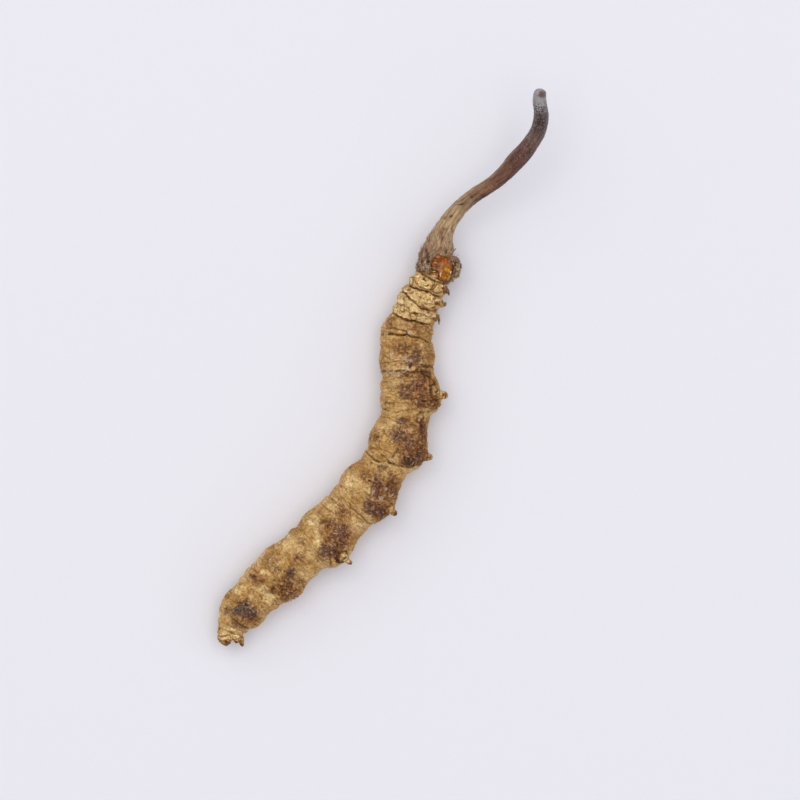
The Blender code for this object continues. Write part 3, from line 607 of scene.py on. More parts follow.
class Skin:
    """The larva's skin, laid out flat: along the axis, and down the flank by the angle over level."""

    def __init__(self):
        rows = np.array(AXIS)
        self.axis = Axis(rows[:, :3])
        self.crease_width, self.middle_width = rows[:, 3], rows[:, 4]
        self.back, self.belly = self.reach(BACK_LINE), self.reach(BELLY_LINE)
        self.creases = [self.on_flank(track) for _, *track in CREASES]
        self.tracks = []
        for row, track in zip(CREASES, self.creases):
            deep, wide = (SOFT_DEPTH, SOFT_WIDTH) if row[0] < SOFT_CREASE else (CREASE_DEPTH, CREASE_WIDTH)
            self.tracks.append((deep * row[0], wide, track))
        for share, *track in FOLDS:
            self.tracks.append((FOLD_DEPTH * share, FOLD_WIDTH, self.on_flank(track)))
        self.mounds = [(self.on_flank([mound[:2]])[0], *mound[2:]) for mound in MOUNDS]
        self.plates = [(rise, self.on_flank(corners)) for rise, *corners in PLATES]

    def reach(self, line, soft=0.13):
        """Distance from the axis to an outline seen from above, at each sample of the axis."""
        at, across = self.axis.beside(from_photo(line))
        order = np.argsort(at)
        reach = np.interp(self.axis.samples, at[order], np.abs(across[order]))
        half = round(2 * soft / SAMPLE_STEP)
        weights = np.exp(-((np.arange(-half, half + 1) * SAMPLE_STEP / soft) ** 2))
        return np.convolve(np.pad(reach, half, mode="edge"), weights / weights.sum(), mode="valid")

    def width(self, at, level):
        """Half-width seen from above, on the belly side or on the back."""
        belly, back = (np.interp(at, self.axis.samples, side) for side in (self.belly, self.back))
        return np.where(np.cos(level) > 0, belly, back)

    def flat(self, at, level):
        """The skin laid flat in millimetres. The girth turns angles to lengths on it."""
        return np.column_stack([at, level * np.interp(at, self.axis.knots, self.middle_width)])

    def on_flank(self, px):
        """Distance along the axis and angle over level of px on the flank that faces up."""
        at, across = self.axis.beside(from_photo(px))
        reach = self.width(at, np.where(across > 0, 0, math.pi))
        return np.column_stack([at, np.arccos(np.clip(EDGE_STRETCH * across / reach, -1, 1))])

    def relief(self, at, level):
        """Height of folds, mounds and plates over the skin, painted shade by depth in their hollows, and how
        clean.
        """
        height, depth, clean = np.zeros((3, len(at)))
        spots = self.flat(at, level)
        upright = 0.5 + 0.5 * np.sin(level)
        for drop, width, track in self.tracks:
            distance = track_distance(spots, self.flat(*track.T)) / width
            soft = width == SOFT_WIDTH
            if soft:
                clean = np.maximum(clean, np.exp(-((distance / CLEAN_REACH) ** 2)))
            groove = np.exp(-(distance**2))
            lip = np.exp(-(((distance - LIP_PLACE) / LIP_WIDTH) ** 2))
            height += drop * (LIP_RISE * lip - groove) * upright
            # Painted shade in the groove: a soft valley gets a little, a sharp fold more the deeper it is.
            darkest = SOFT_SHADE if soft else min(1.0, drop / FULL_SHADE_DEPTH)
            depth = np.maximum(depth, groove**1.5 * darkest)
        for spot, radius, rise in self.mounds:
            away = np.linalg.norm(spots - self.flat(*spot[:, None]), axis=1) / radius
            ring = np.exp(-((away - RING_PLACE) ** 2) / RING_SPREAD)
            height += rise * (np.exp(-((away - TOP_PLACE) ** 2) / TOP_SPREAD) - RING_CUT * ring)
            # Painted shade in the furrow round the mound.
            depth = np.maximum(depth, RING_CUT * ring)
        for rise, corners in self.plates:
            inside = depth_inside(spots, self.flat(*corners.T))
            height += rise * smooth_step(inside, -0.05, 0.08)
            # Painted shadow in a thin line just outside the plate's edge.
            depth = np.maximum(depth, 0.8 * np.exp(-(((inside + 0.06) / 0.07) ** 2)))
        return height, depth, clean

    def points(self, at, level):
        """Points of the skin at angles from -pi to pi over level. The lower flank mirrors the upper one."""
        centre, _, side, up = self.axis.frames(at)
        mirrored = np.abs(level)
        starts = np.array([np.interp(mirrored, track[::-1, 1], track[::-1, 0]) for track in self.creases])
        starts = np.vstack([np.zeros(len(at)), starts, np.full(len(at), self.axis.length)])
        i = np.clip((starts <= at).sum(0) - 1, 0, len(starts) - 2)
        column = np.arange(len(at))
        share = np.clip((at - starts[i, column]) / (starts[i + 1, column] - starts[i, column]), 0, 1)
        crease = self.crease_width[i] + (self.crease_width[i + 1] - self.crease_width[i]) * share
        tall = FLATTENED * (crease + (self.middle_width[i] - crease) * np.sin(math.pi * share) ** SWELL_POWER)
        out = np.cos(level)[:, None] * side + np.sin(level)[:, None] * up
        wide = self.width(at, level) * np.cos(level)
        return centre + wide[:, None] * side + (tall * np.sin(level))[:, None] * up, out


def loft(rings):
    """Points and faces of a closed body through rings of points, counter-clockwise about the way they run."""
    count, around = rings.shape[:2]
    index = np.arange(count * around).reshape(count, around)
    here, beside = index[:-1], np.roll(index[:-1], -1, axis=1)
    above, beyond = index[1:], np.roll(index[1:], -1, axis=1)
    sides = np.stack([here, beside, beyond, above], axis=-1).reshape(-1, 4).tolist()
    return rings.reshape(-1, 3), sides + [index[0][::-1].tolist(), index[-1].tolist()]


def tube(points, radii, sides=20, spacing=0.1):
    """A closed tube of changing radius along a smooth path."""
    path = Axis(points)
    at = np.linspace(0, path.length, max(4, round(path.length / spacing)))
    centre, _, side, up = path.frames(at)
    radius = np.interp(at, path.knots, radii)
    turn = np.arange(sides) * math.tau / sides
    ring = np.cos(turn)[None, :, None] * side[:, None] + np.sin(turn)[None, :, None] * up[:, None]
    return loft(centre[:, None] + radius[:, None, None] * ring)


def dome(centre, half_size, turn, rows, around, fullness=2.0):
    """Points and faces of an egg shape, from its lowest point to its highest."""
    latitude = (np.arange(rows) + 0.5) / rows * math.pi - math.pi / 2
    longitude = np.arange(around) * math.tau / around
    ring = np.stack([np.cos(longitude), np.sin(longitude), np.zeros(around)], axis=-1)
    points = np.cos(latitude)[:, None, None] * ring + np.sin(latitude)[:, None, None] * np.array([0, 0, 1])
    points /= (np.abs(points) ** fullness).sum(-1, keepdims=True) ** (1 / fullness)
    points *= half_size
    cos, sin = math.cos(turn), math.sin(turn)
    return loft(points @ np.array([[cos, sin, 0], [-sin, cos, 0], [0, 0, 1]]) + centre)


def join(shapes):
    """One list of points and faces from several."""
    points, faces = [], []
    for more, more_faces in shapes:
        faces += [[i + len(points) for i in face] for face in more_faces]
        points += list(more)
    return points, faces


def new_object(name, points, faces):
    mesh = bpy.data.meshes.new(name)
    mesh.from_pydata(np.asarray(points).tolist(), [], faces)
    made = bpy.data.objects.new(name, mesh)
    bpy.context.scene.collection.objects.link(made)
    return made


def settle(piece):
    """Puts the plain mesh that a piece's modifiers give in their place."""
    graph = bpy.context.evaluated_depsgraph_get()
    mesh = bpy.data.meshes.new_from_object(
        piece.evaluated_get(graph), preserve_all_data_layers=True, depsgraph=graph)
    piece.modifiers.clear()
    piece.data = mesh
    return piece


def fuse(piece, grain):
    """Joins a piece's overlapping bodies into one even skin of small faces."""
    remesh = piece.modifiers.new("fuse", "REMESH")
    remesh.mode = "VOXEL"
    remesh.voxel_size = grain
    remesh.use_smooth_shade = True
    return settle(piece)


def cut(piece, points, faces):
    """Takes a closed shape out of a piece."""
    cutter = new_object("cutter", points, faces)
    difference = piece.modifiers.new("cut", "BOOLEAN")
    difference.object = cutter
    difference.operation = "DIFFERENCE"
    difference.solver = "EXACT"
    settle(piece)
    bpy.data.objects.remove(cutter)


def read_vectors(mesh, field):
    """The places of a mesh's points, called co, or their normals."""
    flat = np.zeros(len(mesh.vertices) * 3, np.float32)
    mesh.vertices.foreach_get(field, flat)
    return flat.reshape(-1, 3).astype(float)


def move_points(mesh, points):
    mesh.vertices.foreach_set("co", points.astype(np.float32).ravel())


def mark(mesh, name, values):
    """Stores a number or a vector for each point of a mesh, for its material and its relief."""
    values = np.asarray(values, np.float32)
    kind, field = ("FLOAT_VECTOR", "vector") if values.ndim > 1 else ("FLOAT", "value")
    mesh.attributes.new(name, kind, "POINT").data.foreach_set(field, values.ravel())


def add_node(tree, kind, inputs=None, stops=(), out=0, **settings):
    """Adds a node with its settings, its ramp stops, and inputs by name or number: values or links."""
    node = tree.nodes.new(kind)
    for name, value in settings.items():
        setattr(node, name, value)
    for i, (place, code) in enumerate(stops):
        element = node.color_ramp.elements[i] if i < 2 else node.color_ramp.elements.new(place)
        element.position = place
        element.color = hexa(code)
    for key, value in (inputs or {}).items():
        if isinstance(value, bpy.types.NodeSocket):
            tree.links.new(value, node.inputs[key])
        else:
            node.inputs[key].default_value = value
    return node.outputs[out] if node.outputs else node


def new_tree(name, inputs):
    """A Geometry Nodes tree with a mesh in, a mesh out and named inputs, and the sockets of its inputs."""
    tree = bpy.data.node_groups.new(name, "GeometryNodeTree")
    tree.interface.new_socket("Mesh", in_out="OUTPUT", socket_type="NodeSocketGeometry")
    tree.interface.new_socket("Mesh", in_out="INPUT", socket_type="NodeSocketGeometry")
    for label, kind in inputs:
        tree.interface.new_socket(label, in_out="INPUT", socket_type="NodeSocket" + kind)
    return tree, tree.nodes.new("NodeGroupInput").outputs


def grow(piece, tree, values):
    """Runs a tree on a piece with its inputs set, and leaves a plain mesh."""
    modifier = piece.modifiers.new(tree.name, "NODES")
    modifier.node_group = tree
    for item in tree.interface.items_tree:
        if item.in_out == "INPUT" and item.name in values:
            modifier[item.identifier] = values[item.name]
    return settle(piece)


def make_relief_tree():
    """Fine relief of dried flesh: creased wrinkles, an even grain, and a cracked crust where it is crusted.

    It works on the vector attribute lay, in millimetres, and stores its height as the attribute rise, from
    which the materials paint shade in the low places, and the skin a highlight on the crests.
    """
    tree, given = new_tree("dried_relief", (
        ("Wrinkle Spacing", "Vector"), ("Wrinkle Depth", "Float"), ("Grain Size", "Float"),
        ("Grain Height", "Float"), ("Crust Size", "Float"), ("Crust Height", "Float")))
    lay = add_node(tree, "GeometryNodeInputNamedAttribute", {"Name": "lay"}, data_type="FLOAT_VECTOR")
    crust = add_node(tree, "GeometryNodeInputNamedAttribute", {"Name": "crusted"}, data_type="FLOAT")
    spread = add_node(tree, "ShaderNodeVectorMath", {0: lay, 1: given["Wrinkle Spacing"]}, operation="DIVIDE")
    waves = add_node(tree, "ShaderNodeTexNoise",
                     {"Vector": spread, "Scale": 1.0, "Detail": 3.0, "Roughness": 0.6})
    # A wrinkle is the line where the noise crosses its middle value.
    off = add_node(tree, "ShaderNodeMath", {0: waves, 1: 0.5}, operation="SUBTRACT")
    away = add_node(tree, "ShaderNodeMath", {0: off}, operation="ABSOLUTE")
    ridge = add_node(tree, "ShaderNodeMapRange", {0: away, 1: 0.0, 2: 0.09, 3: -1.0, 4: 0.30})
    height = add_node(tree, "ShaderNodeMath", {0: ridge, 1: given["Wrinkle Depth"]}, operation="MULTIPLY")
    even = add_node(tree, "ShaderNodeMath", {0: 1.0, 1: given["Grain Size"]}, operation="DIVIDE")
    grain = add_node(tree, "ShaderNodeTexNoise", {"Vector": lay, "Scale": even, "Detail": 2.0})
    grain = add_node(tree, "ShaderNodeMath", {0: grain, 1: 0.5}, operation="SUBTRACT")
    height = add_node(tree, "ShaderNodeMath",
                      {0: grain, 1: given["Grain Height"], 2: height}, operation="MULTIPLY_ADD")
    close = add_node(tree, "ShaderNodeMath", {0: 1.0, 1: given["Crust Size"]}, operation="DIVIDE")
    cracks = add_node(tree, "ShaderNodeTexNoise",
                      {"Vector": lay, "Scale": close, "Detail": 3.0, "Roughness": 0.7})
    cracks = add_node(tree, "ShaderNodeMath", {0: cracks, 1: 0.5}, operation="SUBTRACT")
    cracks = add_node(tree, "ShaderNodeMath", {0: cracks}, operation="ABSOLUTE")
    lump = add_node(tree, "ShaderNodeMapRange", {0: cracks, 1: 0.0, 2: 0.12, 3: -0.8, 4: 0.6})
    lump = add_node(tree, "ShaderNodeMath", {0: lump, 1: crust}, operation="MULTIPLY")
    height = add_node(tree, "ShaderNodeMath",
                      {0: lump, 1: given["Crust Height"], 2: height}, operation="MULTIPLY_ADD")
    normal = add_node(tree, "GeometryNodeInputNormal")
    shift = add_node(tree, "ShaderNodeVectorMath", {0: normal, "Scale": height}, operation="SCALE")
    mesh = add_node(tree, "GeometryNodeStoreNamedAttribute",
                    {"Geometry": given["Mesh"], "Name": "rise", "Value": height},
                    data_type="FLOAT", domain="POINT")
    mesh = add_node(tree, "GeometryNodeSetPosition", {"Geometry": mesh, "Offset": shift})
    add_node(tree, "NodeGroupOutput", {0: mesh})
    return tree


def make_scatter_tree():
    """Copies of a small shape over a surface, as many as an attribute calls for.

    They point along the surface's normal, along the attribute grow, or astray, by the shares given.
    """
    tree, given = new_tree("scatter", (
        ("Shape", "Object"), ("Where", "String"), ("Per Square Millimetre", "Float"), ("Smallest", "Float"),
        ("Largest", "Float"), ("Stand", "Float"), ("Along", "Float"), ("Stray", "Float"), ("Seed", "Int"),
        ("Material", "Material")))
    where = add_node(tree, "GeometryNodeInputNamedAttribute", {"Name": given["Where"]}, data_type="FLOAT")
    density = add_node(tree, "ShaderNodeMath",
                       {0: where, 1: given["Per Square Millimetre"]}, operation="MULTIPLY")
    spread = tree.nodes.new("GeometryNodeDistributePointsOnFaces")
    for key, value in (("Mesh", given["Mesh"]), ("Density", density), ("Seed", given["Seed"])):
        tree.links.new(value, spread.inputs[key])
    points, normal = spread.outputs["Points"], spread.outputs["Normal"]
    along = add_node(tree, "GeometryNodeInputNamedAttribute", {"Name": "grow"}, data_type="FLOAT_VECTOR")
    astray = add_node(tree, "FunctionNodeRandomValue", {0: (-1, -1, -1), 1: (1, 1, 1), "Seed": 1},
                      data_type="FLOAT_VECTOR")
    way = add_node(tree, "ShaderNodeVectorMath", {0: normal, "Scale": given["Stand"]}, operation="SCALE")
    for share, more in (("Along", along), ("Stray", astray)):
        part = add_node(tree, "ShaderNodeVectorMath", {0: more, "Scale": given[share]}, operation="SCALE")
        way = add_node(tree, "ShaderNodeVectorMath", {0: way, 1: part}, operation="ADD")
    spin = add_node(tree, "FunctionNodeRandomValue", {0: (0, 0, 0), 1: (math.tau,) * 3, "Seed": 2},
                    data_type="FLOAT_VECTOR")
    spin = add_node(tree, "FunctionNodeEulerToRotation", {0: spin})
    turn = add_node(tree, "FunctionNodeAlignRotationToVector", {"Rotation": spin, "Vector": way}, axis="Z")
    size = add_node(tree, "FunctionNodeRandomValue",
                    {2: given["Smallest"], 3: given["Largest"], "Seed": 3}, out=1,
                    data_type="FLOAT")
    shape = add_node(tree, "GeometryNodeObjectInfo", {"Object": given["Shape"]}, out=4)
    copies = add_node(tree, "GeometryNodeInstanceOnPoints",
                      {"Points": points, "Instance": shape, "Rotation": turn, "Scale": size})
    tone = add_node(tree, "FunctionNodeRandomValue", {2: 0.0, 3: 1.0, "Seed": 4}, out=1, data_type="FLOAT")
    copies = add_node(tree, "GeometryNodeStoreNamedAttribute",
                      {"Geometry": copies, "Name": "shade", "Value": tone},
                      data_type="FLOAT", domain="INSTANCE")
    mesh = add_node(tree, "GeometryNodeRealizeInstances", {"Geometry": copies})
    mesh = add_node(tree, "GeometryNodeSetMaterial", {"Geometry": mesh, "Material": given["Material"]})
    add_node(tree, "NodeGroupOutput", {0: mesh})
    return tree


def new_material(name, roughness, **finish):
    """A material with its shader's plain settings, the tree and the shader."""
    material = bpy.data.materials.new(name)
    material.use_nodes = True
    shader = material.node_tree.nodes["Principled BSDF"]
    shader.inputs["Roughness"].default_value = roughness
    for label, value in finish.items():
        shader.inputs[label.replace("_", " ")].default_value = value
    return material, material.node_tree, shader


def lay_paints(tree, colour, paints):
    """Lays plain colours over a colour. Each covers more as its attribute goes from one value to another."""
    for name, start, end, full, code in paints:
        value = add_node(tree, "ShaderNodeAttribute", out=2, attribute_name=name)
        share = add_node(tree, "ShaderNodeMapRange", {0: value, 1: start, 2: end, 3: 0.0, 4: full})
        colour = add_node(tree, "ShaderNodeMix",
                          {0: share, 6: colour, 7: hexa(code)}, out=2, data_type="RGBA")
    return colour


def lay_stains(tree, colour, stains, edge, grain, gaps=0.0):
    """Lays stains over a colour.

    Each covers by its attribute, with an edge broken by noise and gaps where the grain is light, and has that
    grain's shades inside.
    """
    for name, full, stops in stains:
        cover = add_node(tree, "ShaderNodeAttribute", out=2, attribute_name=name)
        broken = add_node(tree, "ShaderNodeMath", {0: edge, 1: 0.8, 2: cover}, operation="MULTIPLY_ADD")
        broken = add_node(tree, "ShaderNodeMath", {0: grain, 1: -gaps, 2: broken}, operation="MULTIPLY_ADD")
        share = add_node(tree, "ShaderNodeMapRange",
                         {0: broken, 1: 0.60 - gaps / 2, 2: 1.10 - gaps / 2, 4: full},
                         interpolation_type="SMOOTHSTEP")
        inside = add_node(tree, "ShaderNodeValToRGB", {0: grain}, stops)
        colour = add_node(tree, "ShaderNodeMix", {0: share, 6: colour, 7: inside}, out=2, data_type="RGBA")
    return colour


def shade(tree, colour, pattern, ends, dark, light):
    """Multiplies a colour by one tint where a pattern is low and by another where it is high."""
    tint = add_node(tree, "ShaderNodeMapRange",
                    {6: pattern, 7: ends[:1] * 3, 8: ends[1:] * 3, 9: dark, 10: light},
                    out=1, data_type="FLOAT_VECTOR")
    return add_node(tree, "ShaderNodeVectorMath", {0: colour, 1: tint}, operation="MULTIPLY")


def make_skin_material():
    """Cured insect skin: matt and chalky, a waxy ochre under brown and grey crusts of fungus and earth."""
    material, tree, shader = new_material(
        "dried_insect_skin", 0.78, Specular_IOR_Level=0.35, Subsurface_Weight=0.12, Subsurface_Scale=0.0006)
    place = add_node(tree, "ShaderNodeTexCoord", out=3)
    lay = add_node(tree, "ShaderNodeAttribute", out=1, attribute_name="lay")
    clouds = add_node(tree, "ShaderNodeTexNoise",
                      {"Vector": place, "Scale": PER_MM / 2.0, "Detail": 5.0, "Roughness": 0.65})
    colour = add_node(tree, "ShaderNodeValToRGB", {0: clouds},
                      ((0.30, "#A07440"), (0.44, "#C49A58"), (0.56, "#D7B072"), (0.70, "#E8CA90")))
    edge = add_node(tree, "ShaderNodeTexNoise",
                    {"Vector": place, "Scale": PER_MM / 0.85, "Detail": 6.0, "Roughness": 0.75})
    grain = add_node(tree, "ShaderNodeTexNoise",
                     {"Vector": place, "Scale": PER_MM / 0.40, "Detail": 5.0, "Roughness": 0.80})
    colour = lay_stains(tree, colour, (
        ("wash", 0.80, ((0.38, "#6C482A"), (0.48, "#9E6E3C"), (0.58, "#CCA060"))),
        ("pale", 0.92, ((0.38, "#C6964E"), (0.47, "#ECC87E"), (0.56, "#FFE9B6"))),
        ("crust", 0.82, ((0.38, "#4C2E1A"), (0.48, "#80522C"), (0.58, "#B48042"))),
        ("rust", 0.80, ((0.38, "#542F1C"), (0.48, "#864E2E"), (0.58, "#B47A4C"))),
        ("dusk", 0.80, ((0.38, "#4C342C"), (0.48, "#775244"), (0.58, "#A07C66"))),
        ("slate", 0.80, ((0.38, "#38302E"), (0.48, "#5A504C"), (0.58, "#867A72"))),
        ("dark", 0.85, ((0.36, "#24160E"), (0.50, "#422A1A"), (0.62, "#6A4830"))),
    ), edge, grain, 0.55)
    # Fine creases run round the body, three times as close as they are long.
    ribs = add_node(tree, "ShaderNodeVectorMath", {0: lay, 1: (0.40, 1.2, 1.2)}, operation="DIVIDE")
    ribs = add_node(tree, "ShaderNodeTexNoise",
                    {"Vector": ribs, "Scale": 1.0, "Detail": 5.0, "Roughness": 0.75})
    colour = shade(tree, colour, ribs, (0.36, 0.62), (0.80, 0.70, 0.61), (1.14, 1.17, 1.20))
    # A mottle as fine as the crust's crumbs, a quarter of a millimetre.
    mottle = add_node(tree, "ShaderNodeTexNoise",
                      {"Vector": place, "Scale": PER_MM / 0.25, "Detail": 3.0, "Roughness": 0.75})
    crusted = add_node(tree, "ShaderNodeAttribute", out=2, attribute_name="crusted")
    uneven = add_node(tree, "ShaderNodeMapRange", {0: crusted, 1: 0.1, 2: 0.9, 3: 0.50, 4: 1.0})
    mottled = shade(tree, colour, mottle, (0.38, 0.60), (0.60, 0.53, 0.48), (1.24, 1.26, 1.27))
    colour = add_node(tree, "ShaderNodeMix", {0: uneven, 6: colour, 7: mottled}, out=2, data_type="RGBA")
    # Pores and specks of dirt a sixth of a millimetre across.
    specks = add_node(tree, "ShaderNodeTexNoise", {"Vector": place, "Scale": PER_MM / 0.17, "Detail": 1.0})
    specks = add_node(tree, "ShaderNodeMapRange", {0: specks, 1: 0.61, 2: 0.69, 3: 0.0, 4: 0.65})
    specks = add_node(tree, "ShaderNodeMath", {0: specks, 1: uneven}, operation="MULTIPLY")
    colour = add_node(tree, "ShaderNodeMix",
                      {0: specks, 6: colour, 7: hexa("#5A3516")}, out=2, data_type="RGBA")
    # Painted shade and highlight from the relief's height: its low places get brown shade, its gaps almost
    # black shade and its crests a pale highlight.
    colour = lay_paints(tree, colour, (
        ("rise", -0.02, -0.16, 0.75, "#56320F"),
        ("rise", -0.13, -0.24, 0.85, "#20130B"),
        ("rise", 0.03, 0.14, 0.35, "#E2C28C"),
        # Painted shade in the folds: a wide warm brown, and a dark core where they are deepest.
        ("fold", 0.0, 0.35, 0.55, "#93602A"),
        ("fold", 0.25, 0.95, 0.80, "#40220C"),
        # The claws' own dark horn, and the white of fungus threads.
        ("claw", 0.0, 1.0, 0.70, "#54301A"),
        ("bloom", 0.0, 1.0, 0.40, "#D6CAB6"),
    ))
    tree.links.new(colour, shader.inputs["Base Color"])
    dull = add_node(tree, "ShaderNodeMapRange", {0: clouds, 1: 0.35, 2: 0.65, 3: 0.85, 4: 0.60})
    tree.links.new(dull, shader.inputs["Roughness"])
    bump = add_node(tree, "ShaderNodeBump", {"Strength": 1.0, "Distance": 0.15 * MM, "Height": mottle})
    tree.links.new(bump, shader.inputs["Normal"])
    return material


def make_stalk_material():
    """Dried fungus flesh: fibrous tan at the collar, leathery and dark above, with pale bloom at its tip."""
    material, tree, shader = new_material(
        "dried_fungus_flesh", 0.85, Specular_IOR_Level=0.3, Sheen_Weight=0.30, Sheen_Roughness=0.4)
    place = add_node(tree, "ShaderNodeTexCoord", out=3)
    lay = add_node(tree, "ShaderNodeAttribute", out=1, attribute_name="lay")
    strands = add_node(tree, "ShaderNodeVectorMath", {0: lay, 1: (1.4, 0.17, 0.17)}, operation="DIVIDE")
    strands = add_node(tree, "ShaderNodeTexNoise",
                       {"Vector": strands, "Scale": 1.0, "Detail": 4.0, "Roughness": 0.65})
    edge = add_node(tree, "ShaderNodeTexNoise",
                    {"Vector": place, "Scale": PER_MM / 0.8, "Detail": 6.0, "Roughness": 0.7})
    grain = add_node(tree, "ShaderNodeTexNoise",
                     {"Vector": place, "Scale": PER_MM / 0.35, "Detail": 4.0, "Roughness": 0.65})
    reach = add_node(tree, "ShaderNodeAttribute", out=2, attribute_name="reach")
    wavy = add_node(tree, "ShaderNodeMath", {0: edge, 1: 0.10, 2: reach}, operation="MULTIPLY_ADD")
    wavy = add_node(tree, "ShaderNodeMath", {0: wavy, 1: 0.05}, operation="SUBTRACT")
    colour = add_node(tree, "ShaderNodeValToRGB", {0: wavy}, (
        (0.02, "#9A7A5C"), (0.15, "#A98A69"), (0.25, "#B3976F"), (0.33, "#A88A66"), (0.41, "#8C6A4E"),
        (0.50, "#78563F"), (0.62, "#6C483A"), (0.70, "#603E34"), (0.78, "#6E554A"), (0.86, "#493632"),
        (0.92, "#54453F"), (0.98, "#76706E")))
    # Painted light on one side of the stalk and painted shade on the other.
    colour = lay_paints(tree, colour, (
        ("painted_lit_side", 0.0, 1.0, 1.0, "#AF9172"), ("painted_shaded_side", 0.0, 1.0, 1.0, "#54392F")))
    tone = add_node(tree, "ShaderNodeMapRange", {0: strands, 1: 0.35, 2: 0.63, 3: 0.42, 4: 1.38})
    colour = add_node(tree, "ShaderNodeVectorMath", {0: colour, "Scale": tone}, operation="SCALE")
    colour = lay_stains(tree, colour, (
        ("flesh", 0.8, ((0.36, "#6A4C38"), (0.48, "#9A7A60"), (0.60, "#C6A888"))),
        ("ash", 0.75, ((0.36, "#5E4630"), (0.48, "#9C8562"), (0.60, "#D4C096"))),
        ("rust", 0.8, ((0.34, "#53322A"), (0.48, "#7C5140"), (0.62, "#A0735A"))),
        ("dark", 0.80, ((0.34, "#241813"), (0.50, "#432F25"), (0.64, "#644A3B"))),
    ), edge, grain)
    frost = add_node(tree, "ShaderNodeAttribute", out=2, attribute_name="frost")
    broken = add_node(tree, "ShaderNodeMath", {0: grain, 1: 0.9, 2: frost}, operation="MULTIPLY_ADD")
    share = add_node(tree, "ShaderNodeMapRange", {0: broken, 1: 0.72, 2: 1.15, 3: 0.0, 4: 0.62})
    colour = add_node(tree, "ShaderNodeMix",
                      {0: share, 6: colour, 7: hexa("#B5B0B1")}, out=2, data_type="RGBA")
    # A painted sheen greys the flanks towards the tip, and the bare spot on the tip is brown.
    colour = lay_paints(tree, colour, (
        ("painted_flank_sheen", 0.0, 1.0, 0.36, "#8E8684"), ("tip_spot", 0.0, 1.0, 0.85, "#6E4E46")))
    # Grains of light and dark dust below the tip, and a mottle of crumbled flesh at the collar's mouth.
    dust = add_node(tree, "ShaderNodeTexNoise",
                    {"Vector": place, "Scale": PER_MM / 0.2, "Detail": 3.0, "Roughness": 0.7})
    dust = add_node(tree, "ShaderNodeMapRange", {0: dust, 1: 0.38, 2: 0.60, 3: -0.75, 4: 0.55})
    for name in ("peppered", "crusted"):
        cover = add_node(tree, "ShaderNodeAttribute", out=2, attribute_name=name)
        tone = add_node(tree, "ShaderNodeMath", {0: dust, 1: cover, 2: 1.0}, operation="MULTIPLY_ADD")
        colour = add_node(tree, "ShaderNodeVectorMath", {0: colour, "Scale": tone}, operation="SCALE")
    # Painted shade in the relief's low places.
    colour = lay_paints(tree, colour, (("rise", -0.02, -0.10, 0.6, "#3C2A20"),))
    tree.links.new(colour, shader.inputs["Base Color"])
    fine = add_node(tree, "ShaderNodeTexNoise",
                    {"Vector": place, "Scale": PER_MM / 0.15, "Detail": 3.0, "Roughness": 0.65})
    both = add_node(tree, "ShaderNodeMath", {0: strands, 1: 1.2, 2: fine}, operation="MULTIPLY_ADD")
    bump = add_node(tree, "ShaderNodeBump", {"Strength": 0.55, "Distance": 0.08 * MM, "Height": both})
    tree.links.new(bump, shader.inputs["Normal"])
    return material


def make_capsule_material():
    """Chitin, the larva's horn-like head shell: glossy, brown glass over amber, with painted highlights."""
    material, tree, shader = new_material(
        "amber_chitin", 0.30, Specular_IOR_Level=0.22, Coat_Weight=0.06, Coat_Roughness=0.10,
        Subsurface_Weight=0.12, Subsurface_Scale=0.0004)
    place = add_node(tree, "ShaderNodeTexCoord", out=3)
    edge = add_node(tree, "ShaderNodeTexNoise",
                    {"Vector": place, "Scale": PER_MM / 0.6, "Detail": 5.0, "Roughness": 0.65})
    grain = add_node(tree, "ShaderNodeTexNoise",
                     {"Vector": place, "Scale": PER_MM / 0.28, "Detail": 3.0, "Roughness": 0.6})
    colour = add_node(tree, "ShaderNodeValToRGB", {0: edge},
                      ((0.36, "#4C2404"), (0.48, "#8A4C0A"), (0.60, "#B4701A")))
    colour = lay_stains(tree, colour, (
        ("gold", 0.85, ((0.36, "#704200"), (0.48, "#A26604"), (0.60, "#CE9220"))),
        ("rust", 0.85, ((0.36, "#441804"), (0.48, "#84400C"), (0.60, "#B86820"))),
        ("deep", 0.8, ((0.36, "#4E2608"), (0.48, "#7E4A10"), (0.60, "#A06A1C"))),
        ("dusk", 0.8, ((0.34, "#40302A"), (0.48, "#6A5044"), (0.62, "#8E7666"))),
        # Painted highlights of the glossy shell.
        ("painted_glints", 0.85, ((0.34, "#D8B888"), (0.48, "#EEDCC0"), (0.62, "#FFFAF0"))),
    ), edge, grain)
    colour = lay_paints(tree, colour, (("fold", 0.0, 1.0, 0.85, "#3E1D0A"),))
    tree.links.new(colour, shader.inputs["Base Color"])
    bump = add_node(tree, "ShaderNodeBump", {"Strength": 0.25, "Distance": 0.04 * MM, "Height": grain})
    tree.links.new(bump, shader.inputs["Normal"])
    return material


def make_grain_material(name, roughness, stops):
    """Small loose stuff whose colour differs from one grain to the next."""
    material, tree, shader = new_material(name, roughness, Specular_IOR_Level=0.3)
    tone = add_node(tree, "ShaderNodeAttribute", out=2, attribute_name="shade")
    place = add_node(tree, "ShaderNodeTexCoord", out=3)
    fine = add_node(tree, "ShaderNodeTexNoise", {"Vector": place, "Scale": PER_MM / 0.1, "Detail": 2.0})
    mixed = add_node(tree, "ShaderNodeMath", {0: fine, 1: 0.4, 2: tone}, operation="MULTIPLY_ADD")
    colour = add_node(tree, "ShaderNodeValToRGB", {0: mixed}, stops)
    tree.links.new(colour, shader.inputs["Base Color"])
    return material


def finish_piece(piece, slot, *nodes):
    """Turns a drafted piece to metres and says what it rides on and what it replaces. The slot, for its
    finish, is not used.
    """
    piece.data.transform(Matrix.Scale(MM, 4))
    piece.data.shade_smooth()
    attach(piece, "root")
    for node in nodes:
        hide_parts(node)


